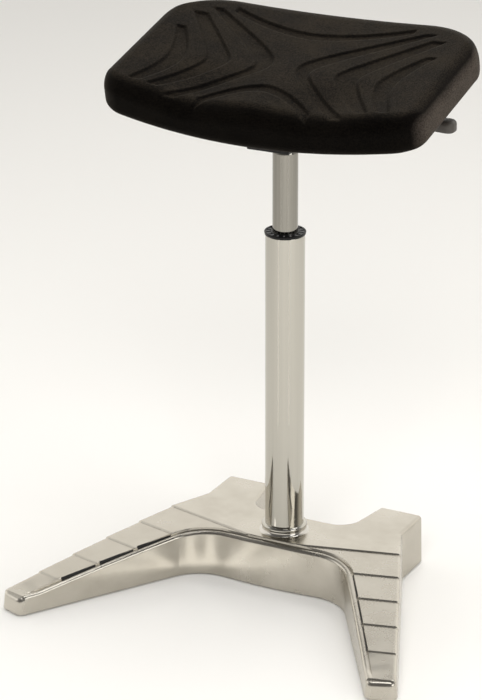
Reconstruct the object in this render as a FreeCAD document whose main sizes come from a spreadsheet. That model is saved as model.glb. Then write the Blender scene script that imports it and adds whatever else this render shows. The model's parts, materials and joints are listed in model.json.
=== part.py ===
import FreeCAD, Part
import math
import os
import Sketcher

# Perch stool: a cast foot with two long stepped arms, a chromed column with a gas spring and a
# polyurethane seat that leans forward. Millimetres, +Z up, front towards -Y, +X to the sitter's left.
# The origin is on the floor, on the column's axis.

Vector = FreeCAD.Vector
Rotation = FreeCAD.Rotation
Placement = FreeCAD.Placement

ORIGIN = Vector(0, 0, 0)
X_AXIS = Vector(1, 0, 0)
Y_AXIS = Vector(0, 1, 0)
Z_AXIS = Vector(0, 0, 1)

TREADS = 5  # steps along an arm
RISER_RUN = 1.0  # how far a riser leans
FAR = 700.0  # beyond every part of the stool
SHARP = 0.6  # radius of a corner that looks sharp
CLEAR = 5.0  # how far cutting blocks stand past what they cut

# Driving dimensions: alias, value and what it is.
DIMENSIONS = [
    ("deck_height", 67.0, "top of the casting above the floor"),
    ("glide_height", 3.0, "casting's lower edge above the floor"),
    ("casting_wall", 5.0, "wall of the casting"),
    ("casting_draft", 2.2, "how far the side walls lean in from bottom to top"),
    ("arm_outer_x", 277.6, "outer corner of an arm's tip, sideways"),
    ("arm_outer_y", 250.0, "outer corner of an arm's tip, forwards"),
    ("arm_inner_x", 241.0, "inner corner of an arm's tip, sideways"),
    ("arm_inner_y", 263.5, "inner corner of an arm's tip, forwards"),
    ("stub_reach", 143.0, "end face of a rear stub, sideways"),
    ("stub_front", 56.0, "where an arm's outer wall meets the stub, rearwards"),
    ("stub_back", 121.0, "rear face of a stub"),
    ("stub_inner", 81.0, "inner corner of a stub, sideways"),
    ("notch_reach", 68.0, "inner corner of the rear recess, sideways"),
    ("notch_depth", 45.0, "bottom of the rear recess, rearwards"),
    ("web_front", 48.0, "front edge at the centre, forwards"),
    ("root_reach", 103.0, "where web and arm meet at the front, sideways"),
    ("root_front", 41.0, "where web and arm meet at the front, forwards"),
    ("root_radius", 60.0, "rounding where web and arm meet"),
    ("notch_radius", 28.0, "rounding in the rear recess"),
    ("tip_radius", 10.0, "rounding of the arm tips in plan"),
    ("stub_radius", 7.0, "rounding of the stub corners in plan"),
    ("web_radius", 500.0, "rounding of the front edge at the centre"),
    ("tread_angle", 14.5, "slant of the tread lines"),
    ("tread_start", 42.0, "first tread line, measured square to the lines"),
    ("tread_pitch", 52.8, "distance between tread lines"),
    ("tread_step", 1.2, "height of the riser at each tread line"),
    ("tread_fall_first", 6.6, "fall along the first tread, riser included"),
    ("tread_fall_growth", 0.75, "extra fall of each following tread"),
    ("ledge_width", 8.5, "width of the ledge along the front edge"),
    ("ledge_drop", 3.0, "ledge below the treads"),
    ("rib_thickness", 5.0, "ribs under the casting"),
    ("hub_radius", 33.0, "outside of the hub under the casting"),
    ("boss_radius", 27.0, "polished boss round the column"),
    ("boss_rise", 5.0, "top of the boss above the casting"),
    ("glide_radius", 13.0, "rubber glide"),
    ("glide_peg_radius", 3.5, "peg of a glide"),
    ("glide_peg_length", 12.0, "peg of a glide"),
    ("front_glide_x", 250.0, "front glide, sideways"),
    ("front_glide_y", 238.0, "front glide, forwards"),
    ("rear_glide_x", 113.0, "rear glide, sideways"),
    ("rear_glide_y", 97.0, "rear glide, rearwards"),
    ("tube_radius", 25.0, "outer column tube"),
    ("tube_wall", 2.0, "outer column tube"),
    ("tube_top", 471.0, "upper end of the outer tube"),
    ("tube_bottom", 8.0, "lower end of the outer tube"),
    ("taper_start", 70.0, "where the outer tube starts to taper"),
    ("taper_drop", 1.4, "loss of radius over the taper"),
    ("collar_radius", 29.5, "bead ring at the foot of the column"),
    ("collar_height", 7.0, "bead ring"),
    ("end_plate_thickness", 4.0, "plate welded in the lower end of the tube"),
    ("running_gap", 0.05, "radial clearance of parts that slide or turn"),
    ("bush_flange_radius", 26.2, "flange of the guide bush"),
    ("bush_flange_height", 3.6, "flange of the guide bush"),
    ("bush_length", 72.0, "guide bush inside the tube"),
    ("bush_pocket_radius", 21.7, "ring of pockets in the flange"),
    ("bush_pocket_depth", 1.8, "pockets in the flange"),
    ("bush_pocket_count", 12, "pockets in the flange"),
    ("cylinder_radius", 16.0, "pressure cylinder"),
    ("cylinder_wall", 2.0, "pressure cylinder"),
    ("cylinder_length", 410.0, "cylinder below the taper socket"),
    ("valve_below", 45.0, "valve body's lower end below the taper socket"),
    ("valve_wide_part", 26.0, "wide part of the valve body"),
    ("rod_radius", 5.0, "piston rod"),
    ("rod_tip_radius", 4.0, "lower end of the piston rod"),
    ("washer_thickness", 2.0, "bearing washers"),
    ("washer_radius", 13.0, "bearing washers"),
    ("ball_radius", 2.0, "bearing balls"),
    ("ball_circle", 9.3, "radius of the ring of balls"),
    ("ball_count", 10, "bearing balls"),
    ("buffer_height", 12.0, "rubber buffer on the rod"),
    ("piston_bottom", 300.0, "piston above the floor"),
    ("piston_height", 12.0, "piston"),
    ("bracket_bottom", 592.0, "lower edge of the seat bracket above the floor"),
    ("socket_below", 10.0, "taper socket below the bracket"),
    ("socket_height", 30.0, "taper socket"),
    ("socket_radius", 22.0, "taper socket"),
    ("socket_taper", 0.8, "loss of radius over the taper socket"),
    ("plate_height", 40.0, "seat plate above the bracket's lower edge, on the axis"),
    ("seat_tilt", 11.8, "forward lean of the seat"),
    ("seat_turn", 1.8, "seat turned about the column"),
    ("bracket_half_width", 28.0, "bracket"),
    ("bracket_front", 51.0, "bracket, forwards"),
    ("bracket_back", 60.0, "bracket, rearwards"),
    ("bracket_wall", 2.5, "sheet of the bracket"),
    ("plate_thickness", 3.0, "seat plate"),
    ("plate_half_width", 85.0, "seat plate"),
    ("plate_front", 62.0, "seat plate, forwards"),
    ("plate_back", 78.0, "seat plate, rearwards"),
    ("screw_x", 70.0, "seat screws, sideways"),
    ("screw_front", 46.0, "front seat screws"),
    ("screw_back", 62.0, "rear seat screws"),
    ("screw_radius", 3.0, "seat screws"),
    ("pin_radius", 2.5, "lever pivot pin"),
    ("lever_y", 40.0, "lever behind the column axis"),
    ("pivot_x", 36.0, "lever pivot beside the column axis"),
    ("pivot_height", 24.5, "lever pivot above the bracket's lower edge"),
    ("lever_sheet", 3.0, "thickness of the lever's tab"),
    ("tab_lift", 3.3, "lever's tab above its pivot"),
    ("knuckle_half", 9.0, "half the lever's width at its pivot"),
    ("ear_gap", 0.3, "between the lever and the bracket's ears"),
    ("ear_sheet", 3.0, "bracket's ears"),
    ("lever_rod_radius", 4.0, "lever rod"),
    ("paddle_end", 208.0, "outer end of the paddle, sideways"),
    ("paddle_length", 48.0, "paddle"),
    ("paddle_width", 28.0, "paddle"),
    ("paddle_height", 15.0, "paddle"),
    ("paddle_rise", 9.5, "paddle's middle above the pivot"),
    ("button_gap", 0.3, "gap between release button and lever"),
    ("board_thickness", 10.0, "seat board"),
    ("board_half_width", 118.0, "seat board"),
    ("board_front", 70.0, "seat board, forwards"),
    ("board_back", 125.0, "seat board, rearwards"),
    ("seat_half_width", 214.5, "cushion"),
    ("seat_front", 109.8, "cushion in front of the column axis, along its slope"),
    ("seat_back", 176.5, "cushion behind the column axis, along its slope"),
    ("seat_thickness", 55.0, "cushion at the middle"),
    ("seat_bow", 23.0, "how far the front edge falls back at the sides"),
    ("seat_rise", 7.0, "how far the top rises towards the sides"),
    ("underside_rise", 15.0, "how far the underside rises towards the sides"),
    ("corner_front", 34.0, "front corners of the cushion in plan"),
    ("corner_back", 86.0, "rear corners of the cushion in plan"),
    ("lip_radius", 25.0, "front lip of the cushion"),
    ("rear_radius", 36.0, "rear upper edge of the cushion"),
    ("under_radius", 12.0, "lower edges of the cushion"),
    ("side_radius", 22.0, "side upper edges of the cushion"),
    ("thigh_dip", 7.0, "depth of the two thigh hollows at the lip"),
    ("thigh_dip_x", 84.0, "thigh hollows beside the middle"),
    ("thigh_dip_spread", 48.0, "half the width of a thigh hollow"),
    ("thigh_dip_length", 90.0, "how far a thigh hollow runs back"),
    ("channel_depth", 2.0, "moulded channels in the seat"),
    ("seat_gap", 0.3, "clearance round the cushion's seats"),
]


class Size:
    """A length that keeps its number together with the sheet expression that it comes from."""

    def __init__(self, number, text):
        self.number = number
        self.text = text

    def joined(self, other, sign, number):
        return Size(number, f"({self.text} {sign} {as_size(other).text})")

    def __add__(self, other):
        return self.joined(other, "+", self.number + as_size(other).number)

    def __sub__(self, other):
        return self.joined(other, "-", self.number - as_size(other).number)

    def __mul__(self, other):
        return self.joined(other, "*", self.number * as_size(other).number)

    def __truediv__(self, other):
        return self.joined(other, "/", self.number / as_size(other).number)

    def __rsub__(self, other):
        return as_size(other) - self

    def __neg__(self):
        return Size(-self.number, f"(-{self.text})")

    def __float__(self):
        return float(self.number)


def as_size(value):
    """A plain number as a Size."""
    if isinstance(value, Size):
        return value
    return Size(value, repr(value))


class Sheet:
    """The aliases of the spreadsheet as attributes."""


doc = FreeCAD.newDocument("perch_stool")
sheet = doc.addObject("Spreadsheet::Sheet", "Sizes")
for row, (alias, value, note) in enumerate(DIMENSIONS, start=1):
    sheet.set(f"A{row}", note)
    sheet.set(f"B{row}", str(value))
    sheet.setAlias(f"B{row}", alias)
doc.recompute()
size = Sheet()
for alias, value, note in DIMENSIONS:
    setattr(size, alias, Size(float(sheet.get(alias)), f"Sizes.{alias}"))

nodes = []


def keep(item):
    """Marks an object as a sub-part that is written to a file of its own."""
    nodes.append(item)
    return item


# Helpers for parametric pieces


def origin_feature(body, role):
    """The origin plane or axis of a body with the given role."""
    return next(item for item in body.Origin.OriginFeatures if item.Role == role)


def new_sketch(body, name, role, height=0.0):
    """A sketch on one of the body's origin planes, moved out of it by height."""
    sketch = body.newObject("Sketcher::SketchObject", name)
    sketch.AttachmentSupport = [(origin_feature(body, role), "")]
    sketch.MapMode = "FlatFace"
    if float(height):
        sketch.AttachmentOffset = Placement(Vector(0, 0, float(height)), Rotation())
        sketch.setExpression("AttachmentOffset.Base.z", as_size(height).text)
    return sketch


def bound_constraint(sketch, kind, *places, value):
    """Adds a dimension and ties it to the sheet."""
    index = sketch.addConstraint(Sketcher.Constraint(kind, *places, float(value)))
    sketch.setExpression(f"Constraints[{index}]", as_size(value).text)


def sketch_polygon(sketch, corners):
    """A closed polygon whose corners are held by dimensions from the sketch's origin."""
    first = len(sketch.Geometry)
    count = len(corners)
    for index in range(count):
        start = corners[index]
        end = corners[(index + 1) % count]
        line = Part.LineSegment(
            Vector(float(start[0]), float(start[1]), 0),
            Vector(float(end[0]), float(end[1]), 0),
        )
        sketch.addGeometry(line, False)
    for index in range(count):
        following = first + (index + 1) % count
        sketch.addConstraint(Sketcher.Constraint("Coincident", first + index, 2, following, 1))
        bound_constraint(sketch, "DistanceX", -1, 1, first + index, 1, value=corners[index][0])
        bound_constraint(sketch, "DistanceY", -1, 1, first + index, 1, value=corners[index][1])


def sketch_circle(sketch, x, y, radius):
    """A circle held by dimensions."""
    index = len(sketch.Geometry)
    circle = Part.Circle(Vector(float(x), float(y), 0), Z_AXIS, float(radius))
    sketch.addGeometry(circle, False)
    bound_constraint(sketch, "Radius", index, value=radius)
    bound_constraint(sketch, "DistanceX", -1, 1, index, 3, value=x)
    bound_constraint(sketch, "DistanceY", -1, 1, index, 3, value=y)


def turned(name, profile, at=None):
    """A body turned about Z from corners given as (radius, height)."""
    body = keep(doc.addObject("PartDesign::Body", name))
    sketch = new_sketch(body, f"{name}_profile", "XZ_Plane")
    sketch_polygon(sketch, profile)
    turn = body.newObject("PartDesign::Revolution", f"{name}_turn")
    turn.Profile = sketch
    turn.ReferenceAxis = (sketch, ["V_Axis"])
    turn.Angle = 360.0
    body.Tip = turn
    if at is not None:
        body.Placement = Placement(at, Rotation())
    return body


def ring_profile(inner, outer, low, high):
    """Corners of a plain ring."""
    return [(inner, low), (outer, low), (outer, high), (inner, high)]


def pocket_ring(body, name, height, circle, radius, depth, count):
    """Round pockets on a circle, cut down from a height."""
    sketch = new_sketch(body, f"{name}_sketch", "XY_Plane", height)
    sketch_circle(sketch, circle, 0.0, radius)
    pocket = body.newObject("PartDesign::Pocket", name)
    pocket.Profile = sketch
    pocket.Length = float(depth)
    pocket.setExpression("Length", as_size(depth).text)
    pattern = body.newObject("PartDesign::PolarPattern", f"{name}_pattern")
    pattern.Originals = [pocket]
    pattern.Axis = (origin_feature(body, "Z_Axis"), [""])
    pattern.Angle = 360.0
    pattern.Occurrences = int(float(count))
    body.Tip = pattern


def bound_box(name, low, high):
    """A Part box between two corners, tied to the sheet."""
    box = doc.addObject("Part::Box", name)
    for index, (edge, place) in enumerate((("Length", "x"), ("Width", "y"), ("Height", "z"))):
        extent = as_size(high[index]) - low[index]
        setattr(box, edge, extent.number)
        box.setExpression(edge, extent.text)
        box.setExpression(f"Placement.Base.{place}", as_size(low[index]).text)
    return box


def bound_cylinder(name, radius, height, base, rotation=Rotation()):
    """A Part cylinder tied to the sheet, standing on base."""
    item = doc.addObject("Part::Cylinder", name)
    item.Radius = float(radius)
    item.setExpression("Radius", as_size(radius).text)
    item.Height = float(height)
    item.setExpression("Height", as_size(height).text)
    item.Placement = Placement(Vector(*[float(part) for part in base]), rotation)
    for part, place in zip(base, "xyz"):
        item.setExpression(f"Placement.Base.{place}", as_size(part).text)
    return item


def fused(name, items):
    """A union."""
    item = doc.addObject("Part::MultiFuse", name)
    item.Shapes = items
    item.Refine = True
    return item


def cut(name, base, tools):
    """A difference."""
    tool = tools[0]
    if len(tools) > 1:
        tool = fused(f"{name}_tools", tools)
    item = doc.addObject("Part::Cut", name)
    item.Base = base
    item.Tool = tool
    item.Refine = True
    return item


def shaped(name, shape, placement=Placement()):
    """A sub-part whose shape is worked out here."""
    item = keep(doc.addObject("Part::Feature", name))
    item.Shape = shape
    item.Placement = placement
    return item


# Outlines of the casting


def number(value):
    return float(value)


def casting_corners():
    """Corners of the casting in plan, anticlockwise from the right arm's root, with radii."""
    right = [
        (size.root_reach, -size.root_front, size.root_radius),
        (size.arm_inner_x, -size.arm_inner_y, size.tip_radius),
        (size.arm_outer_x, -size.arm_outer_y, size.tip_radius),
        (size.stub_reach, size.stub_front, size.stub_radius),
        (size.stub_reach, size.stub_back, size.stub_radius),
        (size.stub_inner, size.stub_back, size.stub_radius),
        (size.notch_reach, size.notch_depth, size.notch_radius),
    ]
    right = [tuple(number(part) for part in corner) for corner in right]
    left = [(-x, y, radius) for x, y, radius in reversed(right)]
    front = (0.0, -number(size.web_front), number(size.web_radius))
    return right + left + [front]


def inset(corners, distance):
    """The same outline moved in by a distance."""
    result = []
    count = len(corners)
    for index, (x, y, radius) in enumerate(corners):
        here = Vector(x, y, 0)
        before = Vector(*corners[index - 1][:2], 0)
        after = Vector(*corners[(index + 1) % count][:2], 0)
        incoming = (here - before).normalize()
        outgoing = (after - here).normalize()
        turn = incoming.cross(outgoing).z
        bend = 1 + incoming.dot(outgoing)
        inward = Vector(-incoming.y - outgoing.y, incoming.x + outgoing.x, 0)
        moved = here + inward * (distance / bend)
        change = -distance if turn > 0 else distance
        result.append((moved.x, moved.y, max(radius + change, SHARP)))
    return result


def rounded_wire(corners, height):
    """A closed wire of lines and tangent arcs through corners given as (x, y, radius)."""
    ends = []
    count = len(corners)
    for index, (x, y, radius) in enumerate(corners):
        here = Vector(x, y, height)
        before = Vector(*corners[index - 1][:2], height)
        after = Vector(*corners[(index + 1) % count][:2], height)
        back = (before - here).normalize()
        ahead = (after - here).normalize()
        half = back.getAngle(ahead) / 2
        reach = radius / math.tan(half)
        middle = (back + ahead).normalize() * (radius / math.sin(half) - radius)
        ends.append((here + back * reach, here + middle, here + ahead * reach))
    edges = []
    for index, (start, middle, end) in enumerate(ends):
        edges.append(Part.Arc(start, middle, end).toShape())
        edges.append(Part.LineSegment(end, ends[(index + 1) % count][0]).toShape())
    return Part.Wire(edges)


def drafted(corners, low, high, lean):
    """A solid between two heights whose walls lean in by lean."""
    bottom = rounded_wire(corners, low)
    top = rounded_wire(inset(corners, lean), high)
    return Part.makeLoft([bottom, top], True, True)


# The stepped upper surface


def tread_profile(lowered):
    """Points (distance, height) of the treads, measured square to the tread lines."""
    reach = 100.0
    height = number(size.deck_height) - lowered
    place = number(size.tread_start)
    fall = number(size.tread_fall_first)
    step = number(size.tread_step)
    points = [(-FAR, height), (place, height)]
    for tread in range(TREADS):
        points.append((place + RISER_RUN, height - step))
        place += number(size.tread_pitch)
        height -= fall
        fall += number(size.tread_fall_growth)
        points.append((place, height))
    last_slope = fall / number(size.tread_pitch)
    points.append((place + reach, height - last_slope * reach))
    return points


def above_treads(lowered):
    """Everything above the treads of the right half, lowered by a distance."""
    profile = tread_profile(lowered)
    outline = [Vector(x, 0, z) for x, z in profile]
    outline += [Vector(profile[-1][0], 0, FAR), Vector(profile[0][0], 0, FAR)]
    face = Part.Face(Part.makePolygon(outline + outline[:1]))
    block = face.extrude(Vector(0, 2 * FAR, 0))
    block.translate(Vector(0, -FAR, 0))
    block.rotate(ORIGIN, Z_AXIS, number(size.tread_angle) - 90.0)
    return block


def front_band():
    """The band along the front edge, from the middle past the right arm's tip, as a tall prism."""
    wide = number(size.ledge_width) + number(size.casting_draft)
    corners = casting_corners()
    middle = Vector(*corners[-1][:2], 0)
    root = Vector(*corners[0][:2], 0)
    tip = Vector(*corners[1][:2], 0)
    past = 1.4
    start = root + (middle - root) * past
    end = root + (tip - root) * past
    along_web = (root - start).normalize()
    along_arm = (end - root).normalize()
    web_side = Vector(-along_web.y, along_web.x, 0) * wide
    arm_side = Vector(-along_arm.y, along_arm.x, 0) * wide
    bend = root + (web_side + arm_side) * (1 / (1 + along_web.dot(along_arm)))
    inner = [start + web_side, bend, end + arm_side]
    outer = [place - Y_AXIS * (FAR / 4) for place in (start, root, end)]
    radii = [SHARP, number(size.root_radius) + wide, SHARP]
    ring = [(place.x, place.y, SHARP) for place in outer]
    ring += [(place.x, place.y, radius) for place, radius in zip(reversed(inner), radii)]
    return Part.Face(rounded_wire(ring, 0.0)).extrude(Z_AXIS * FAR)


def right_half_space():
    """A block over the whole right half."""
    return Part.makeBox(FAR, 2 * FAR, 2 * FAR, Vector(0, -FAR, -FAR))


def mirrored(shape):
    """The left-hand copy of a right-hand shape."""
    return shape.mirror(ORIGIN, X_AXIS)


def casting_outside():
    """The casting's outer form, with treads and ledge."""
    low = number(size.glide_height)
    high = number(size.deck_height) + CLEAR
    block = drafted(casting_corners(), low, high, number(size.casting_draft))
    half = block.common(right_half_space())
    band = front_band()
    treads = half.cut(band).cut(above_treads(0.0))
    ledge = half.common(band).cut(above_treads(number(size.ledge_drop)))
    right = treads.fuse(ledge)
    return right.fuse(mirrored(right)).removeSplitter()


def casting_cavity():
    """The hollow under the casting, before ribs and bosses."""
    wall = number(size.casting_wall)
    low = number(size.glide_height) - 1.0
    high = number(size.deck_height) + CLEAR
    block = drafted(inset(casting_corners(), wall), low, high, number(size.casting_draft))
    half = block.common(right_half_space())
    half = half.cut(above_treads(wall + number(size.ledge_drop)))
    return half.fuse(mirrored(half))


def casting_ribs():
    """Hub, glide bosses and ribs that stand in the hollow."""
    low = number(size.glide_height)
    tall = number(size.deck_height)
    thick = number(size.rib_thickness)
    parts = [Part.makeCylinder(number(size.hub_radius), tall, Vector(0, 0, low))]
    for x, y in glide_places():
        boss = number(size.glide_peg_radius) + thick
        parts.append(Part.makeCylinder(boss, tall, Vector(x, y, low)))
        length = math.hypot(x, y)
        rib = Part.makeBox(length, thick, tall, Vector(0, -thick / 2, low + thick))
        rib.rotate(ORIGIN, Z_AXIS, math.degrees(math.atan2(y, x)))
        parts.append(rib)
    return parts[0].multiFuse(parts[1:])


def glide_places():
    """Where the four glides stand: front right, front left, rear right, rear left."""
    front = (number(size.front_glide_x), -number(size.front_glide_y))
    rear = (number(size.rear_glide_x), number(size.rear_glide_y))
    return [front, (-front[0], front[1]), rear, (-rear[0], rear[1])]


def tapered_plug():
    """The outside of the column tube's lower end, for the hub's bore."""
    low = number(size.glide_height) - 1.0
    start = number(size.taper_start)
    bottom = number(size.tube_bottom)
    wide = number(size.tube_radius)
    narrow = wide - number(size.taper_drop)
    profile = [
        Vector(0, 0, low),
        Vector(narrow, 0, low),
        Vector(narrow, 0, bottom),
        Vector(wide, 0, start),
        Vector(wide, 0, start + FAR),
        Vector(0, 0, start + FAR),
    ]
    return Part.Face(Part.makePolygon(profile + profile[:1])).revolve(ORIGIN, Z_AXIS, 360)


def base_casting():
    outside = casting_outside()
    boss_low = Vector(0, 0, number(size.deck_height) / 2)
    boss_height = number(size.deck_height + size.boss_rise) - boss_low.z
    boss = Part.makeCylinder(number(size.boss_radius), boss_height, boss_low)
    hollow = casting_cavity().cut(casting_ribs())
    solid = outside.cut(hollow).fuse(boss).cut(tapered_plug())
    peg = number(size.glide_peg_radius)
    for x, y in glide_places():
        depth = number(size.glide_peg_length)
        solid = solid.cut(Part.makeCylinder(peg, depth, Vector(x, y, number(size.glide_height))))
    return shaped("base_casting", solid.removeSplitter())


def glides():
    names = ["glide_front_right", "glide_front_left", "glide_rear_right", "glide_rear_left"]
    peg_top = size.glide_height + size.glide_peg_length
    soft = 0.8
    profile = [
        (0.0, 0.0),
        (size.glide_radius - soft, 0.0),
        (size.glide_radius, size.glide_height / 2),
        (size.glide_radius, size.glide_height),
        (size.glide_peg_radius, size.glide_height),
        (size.glide_peg_radius, peg_top),
        (0.0, peg_top),
    ]
    for name, (x, y) in zip(names, glide_places()):
        turned(name, profile, at=Vector(x, y, 0))


# Column


def column():
    inner = size.tube_radius - size.tube_wall
    narrow = size.tube_radius - size.taper_drop
    narrow_inner = inner - size.taper_drop
    plate_bottom = size.tube_bottom
    plate_top = plate_bottom + size.end_plate_thickness
    turned("stand_tube", [
        (narrow_inner, size.tube_bottom),
        (narrow, size.tube_bottom),
        (size.tube_radius, size.taper_start),
        (size.tube_radius, size.tube_top),
        (inner, size.tube_top),
        (inner, size.taper_start + size.tube_wall * 2),
        (narrow_inner, plate_top + size.tube_wall),
    ])
    round_over = size.collar_height / 3
    collar_low = size.deck_height + size.boss_rise
    collar_top = collar_low + size.collar_height
    turned("column_collar", [
        (size.tube_radius, collar_low),
        (size.collar_radius - round_over, collar_low),
        (size.collar_radius, collar_low + round_over),
        (size.collar_radius, collar_top - round_over),
        (size.collar_radius - round_over, collar_top),
        (size.tube_radius, collar_top),
    ])
    hole = size.rod_tip_radius + size.running_gap
    turned("tube_end_plate", ring_profile(hole, narrow_inner, plate_bottom, plate_top))
    guide_bush(inner)
    return plate_top


def guide_bush(inner):
    bore = size.cylinder_radius + size.running_gap
    flange_top = size.tube_top + size.bush_flange_height
    low = size.tube_top - size.bush_length
    relief = bore + 1.2
    chamfer = 0.8
    land = 16.0
    run_out = 2.0
    body = turned("guide_bush", [
        (bore, low),
        (inner, low),
        (inner, size.tube_top),
        (size.bush_flange_radius, size.tube_top),
        (size.bush_flange_radius, flange_top - chamfer),
        (size.bush_flange_radius - chamfer, flange_top),
        (bore, flange_top),
        (bore, flange_top - land),
        (relief, flange_top - land - run_out),
        (relief, low + land + run_out),
        (bore, low + land),
    ])
    radius = (size.bush_flange_radius - bore) / 4
    pocket_ring(body, "bush_pockets", flange_top, size.bush_pocket_radius, radius,
                size.bush_pocket_depth, size.bush_pocket_count)


# Gas spring and its thrust bearing


def thrust_bearing(plate_top):
    bore = size.rod_tip_radius + size.running_gap
    lower_top = plate_top + size.washer_thickness
    centre = lower_top + size.running_gap + size.ball_radius
    upper_bottom = centre + size.ball_radius + size.running_gap
    upper_top = upper_bottom + size.washer_thickness
    turned("bearing_lower_washer", ring_profile(bore, size.washer_radius, plate_top, lower_top))
    cage_half = size.ball_radius * 0.45
    cage = turned("ball_cage", ring_profile(
        bore + 1.0, size.washer_radius - 0.3, centre - cage_half, centre + cage_half))
    hole = size.ball_radius + size.running_gap
    pocket_ring(cage, "cage_holes", centre + cage_half, size.ball_circle, hole,
                cage_half * 2, size.ball_count)
    balls = []
    count = int(number(size.ball_count))
    for index in range(count):
        angle = math.tau * index / count
        ball = doc.addObject("Part::Sphere", f"ball_{index}")
        ball.Radius = number(size.ball_radius)
        ball.setExpression("Radius", size.ball_radius.text)
        place = Vector(math.cos(angle), math.sin(angle), 0) * number(size.ball_circle)
        ball.Placement = Placement(place + Z_AXIS * number(centre), Rotation())
        balls.append(ball)
    group = keep(doc.addObject("Part::Compound", "bearing_balls"))
    group.Links = balls
    turned("bearing_upper_washer", ring_profile(
        size.rod_tip_radius, size.washer_radius, upper_bottom, upper_top))
    return upper_top


def gas_spring(shoulder, plate_bottom):
    washer = 1.5
    clip = 1.2
    end = 1.0
    washer_bottom = plate_bottom - washer - size.running_gap
    clip_bottom = washer_bottom - clip
    groove = size.rod_tip_radius - 0.8
    spigot = size.rod_radius - 2.0
    piston_top = size.piston_bottom + size.piston_height
    nut_top = piston_top + 4.0
    turned("piston_rod", [
        (0.0, clip_bottom - end),
        (size.rod_tip_radius, clip_bottom - end),
        (size.rod_tip_radius, clip_bottom),
        (groove, clip_bottom),
        (groove, washer_bottom),
        (size.rod_tip_radius, washer_bottom),
        (size.rod_tip_radius, shoulder),
        (size.rod_radius, shoulder),
        (size.rod_radius, size.piston_bottom),
        (spigot, size.piston_bottom),
        (spigot, nut_top + end),
        (0.0, nut_top + end),
    ])
    turned("rod_washer", ring_profile(
        size.rod_tip_radius, size.rod_radius + 4.0, washer_bottom, washer_bottom + washer))
    retaining_clip(groove, clip_bottom, washer_bottom)
    turned("rubber_buffer", [
        (size.rod_radius, shoulder),
        (size.washer_radius, shoulder),
        (size.washer_radius - 1.5, shoulder + size.buffer_height / 2),
        (size.washer_radius, shoulder + size.buffer_height),
        (size.rod_radius, shoulder + size.buffer_height),
    ])
    bore = size.cylinder_radius - size.cylinder_wall
    skirt = bore - 0.4
    ring_low = size.piston_bottom + size.piston_height / 3
    ring_high = size.piston_bottom + size.piston_height * 0.6
    ring_seat = bore - 3.0
    turned("piston", [
        (spigot, size.piston_bottom),
        (skirt, size.piston_bottom),
        (skirt, ring_low),
        (ring_seat, ring_low),
        (ring_seat, ring_high),
        (skirt, ring_high),
        (skirt, piston_top),
        (spigot, piston_top),
    ])
    turned("piston_ring", ring_profile(ring_seat, bore - size.running_gap, ring_low, ring_high))
    piston_nut(spigot, piston_top, nut_top)


def retaining_clip(groove, low, high):
    """A spring clip in the rod's groove, open at one side."""
    clip = bound_cylinder("clip_disc", groove + 3.2, high - low, (0.0, 0.0, low))
    hole = bound_cylinder("clip_hole", groove, high - low, (0.0, 0.0, low))
    mouth = bound_box("clip_mouth", (0.0, -groove, low), (groove + 4.0, groove, high))
    item = cut("retaining_clip", clip, [hole, mouth])
    keep(item)


def piston_nut(spigot, low, high):
    """A hexagon nut on the rod's upper end."""
    base = Vector(0, 0, number(low))
    height = number(high) - number(low)
    corner = X_AXIS * (number(spigot) * 1.85)
    corners = [base + Rotation(Z_AXIS, 60 * side).multVec(corner) for side in range(6)]
    face = Part.Face(Part.makePolygon(corners + corners[:1]))
    nut = face.extrude(Z_AXIS * height)
    hole = Part.makeCylinder(number(spigot), height, base)
    shaped("piston_nut", nut.cut(hole))


def pressure_cylinder():
    socket_bottom = size.bracket_bottom - size.socket_below
    socket_top = socket_bottom + size.socket_height
    low = socket_bottom - size.cylinder_length
    bore = size.cylinder_radius - size.cylinder_wall
    cone_wide = size.cylinder_radius - 2.0
    cone_narrow = cone_wide - size.socket_taper
    valve_low = socket_bottom - size.valve_below
    neck = valve_low + size.valve_wide_part
    neck_bore = bore - 3.0
    lip = 2.0
    edge = 1.0
    guide_top = low + lip + 16.0
    seal_top = guide_top + 5.0
    turned("pressure_cylinder", [
        (bore - lip, low),
        (size.cylinder_radius - edge, low),
        (size.cylinder_radius, low + edge),
        (size.cylinder_radius, socket_bottom - 4.0),
        (cone_wide, socket_bottom),
        (cone_narrow, socket_top),
        (neck_bore, socket_top),
        (neck_bore, neck),
        (bore, neck),
        (bore, low + lip),
        (bore - lip, low + lip),
    ])
    rod_bore = size.rod_radius + size.running_gap
    turned("cylinder_guide", ring_profile(rod_bore, bore, low + lip, guide_top))
    turned("rod_seal", [
        (rod_bore, guide_top),
        (bore, guide_top),
        (bore, seal_top),
        (bore - lip, seal_top),
        (bore - lip * 2, (guide_top + seal_top) / 2),
        (rod_bore + lip, seal_top),
        (rod_bore, seal_top),
    ])
    pin = size.pin_radius
    pin_bore = pin + size.running_gap
    turned("valve_body", [
        (pin_bore, valve_low),
        (bore, valve_low),
        (bore, neck),
        (neck_bore, neck),
        (neck_bore, socket_top - lip),
        (pin_bore, socket_top - lip),
    ])
    button_top = size.bracket_bottom + size.pivot_height + size.tab_lift - size.button_gap
    button = 3.5
    turned("release_pin", [
        (0.0, valve_low + 4.0),
        (pin, valve_low + 4.0),
        (pin, button_top - button),
        (pin + edge, button_top - button),
        (pin + edge, button_top - edge),
        (pin, button_top),
        (0.0, button_top),
    ])
    turned("taper_socket", [
        (cone_wide, socket_bottom),
        (size.socket_radius - edge, socket_bottom),
        (size.socket_radius, socket_bottom + edge),
        (size.socket_radius, socket_top),
        (cone_narrow, socket_top),
    ])


# Seat bracket and lever


def seat_frame():
    """The tilted frame of the seat: origin under the seat plate on the axis, Y up the slope."""
    base = Vector(0, 0, number(size.bracket_bottom + size.plate_height))
    turn = Rotation(Z_AXIS, number(size.seat_turn))
    tilt = Rotation(X_AXIS, number(size.seat_tilt))
    return Placement(ORIGIN, turn) * Placement(base, tilt)


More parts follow.
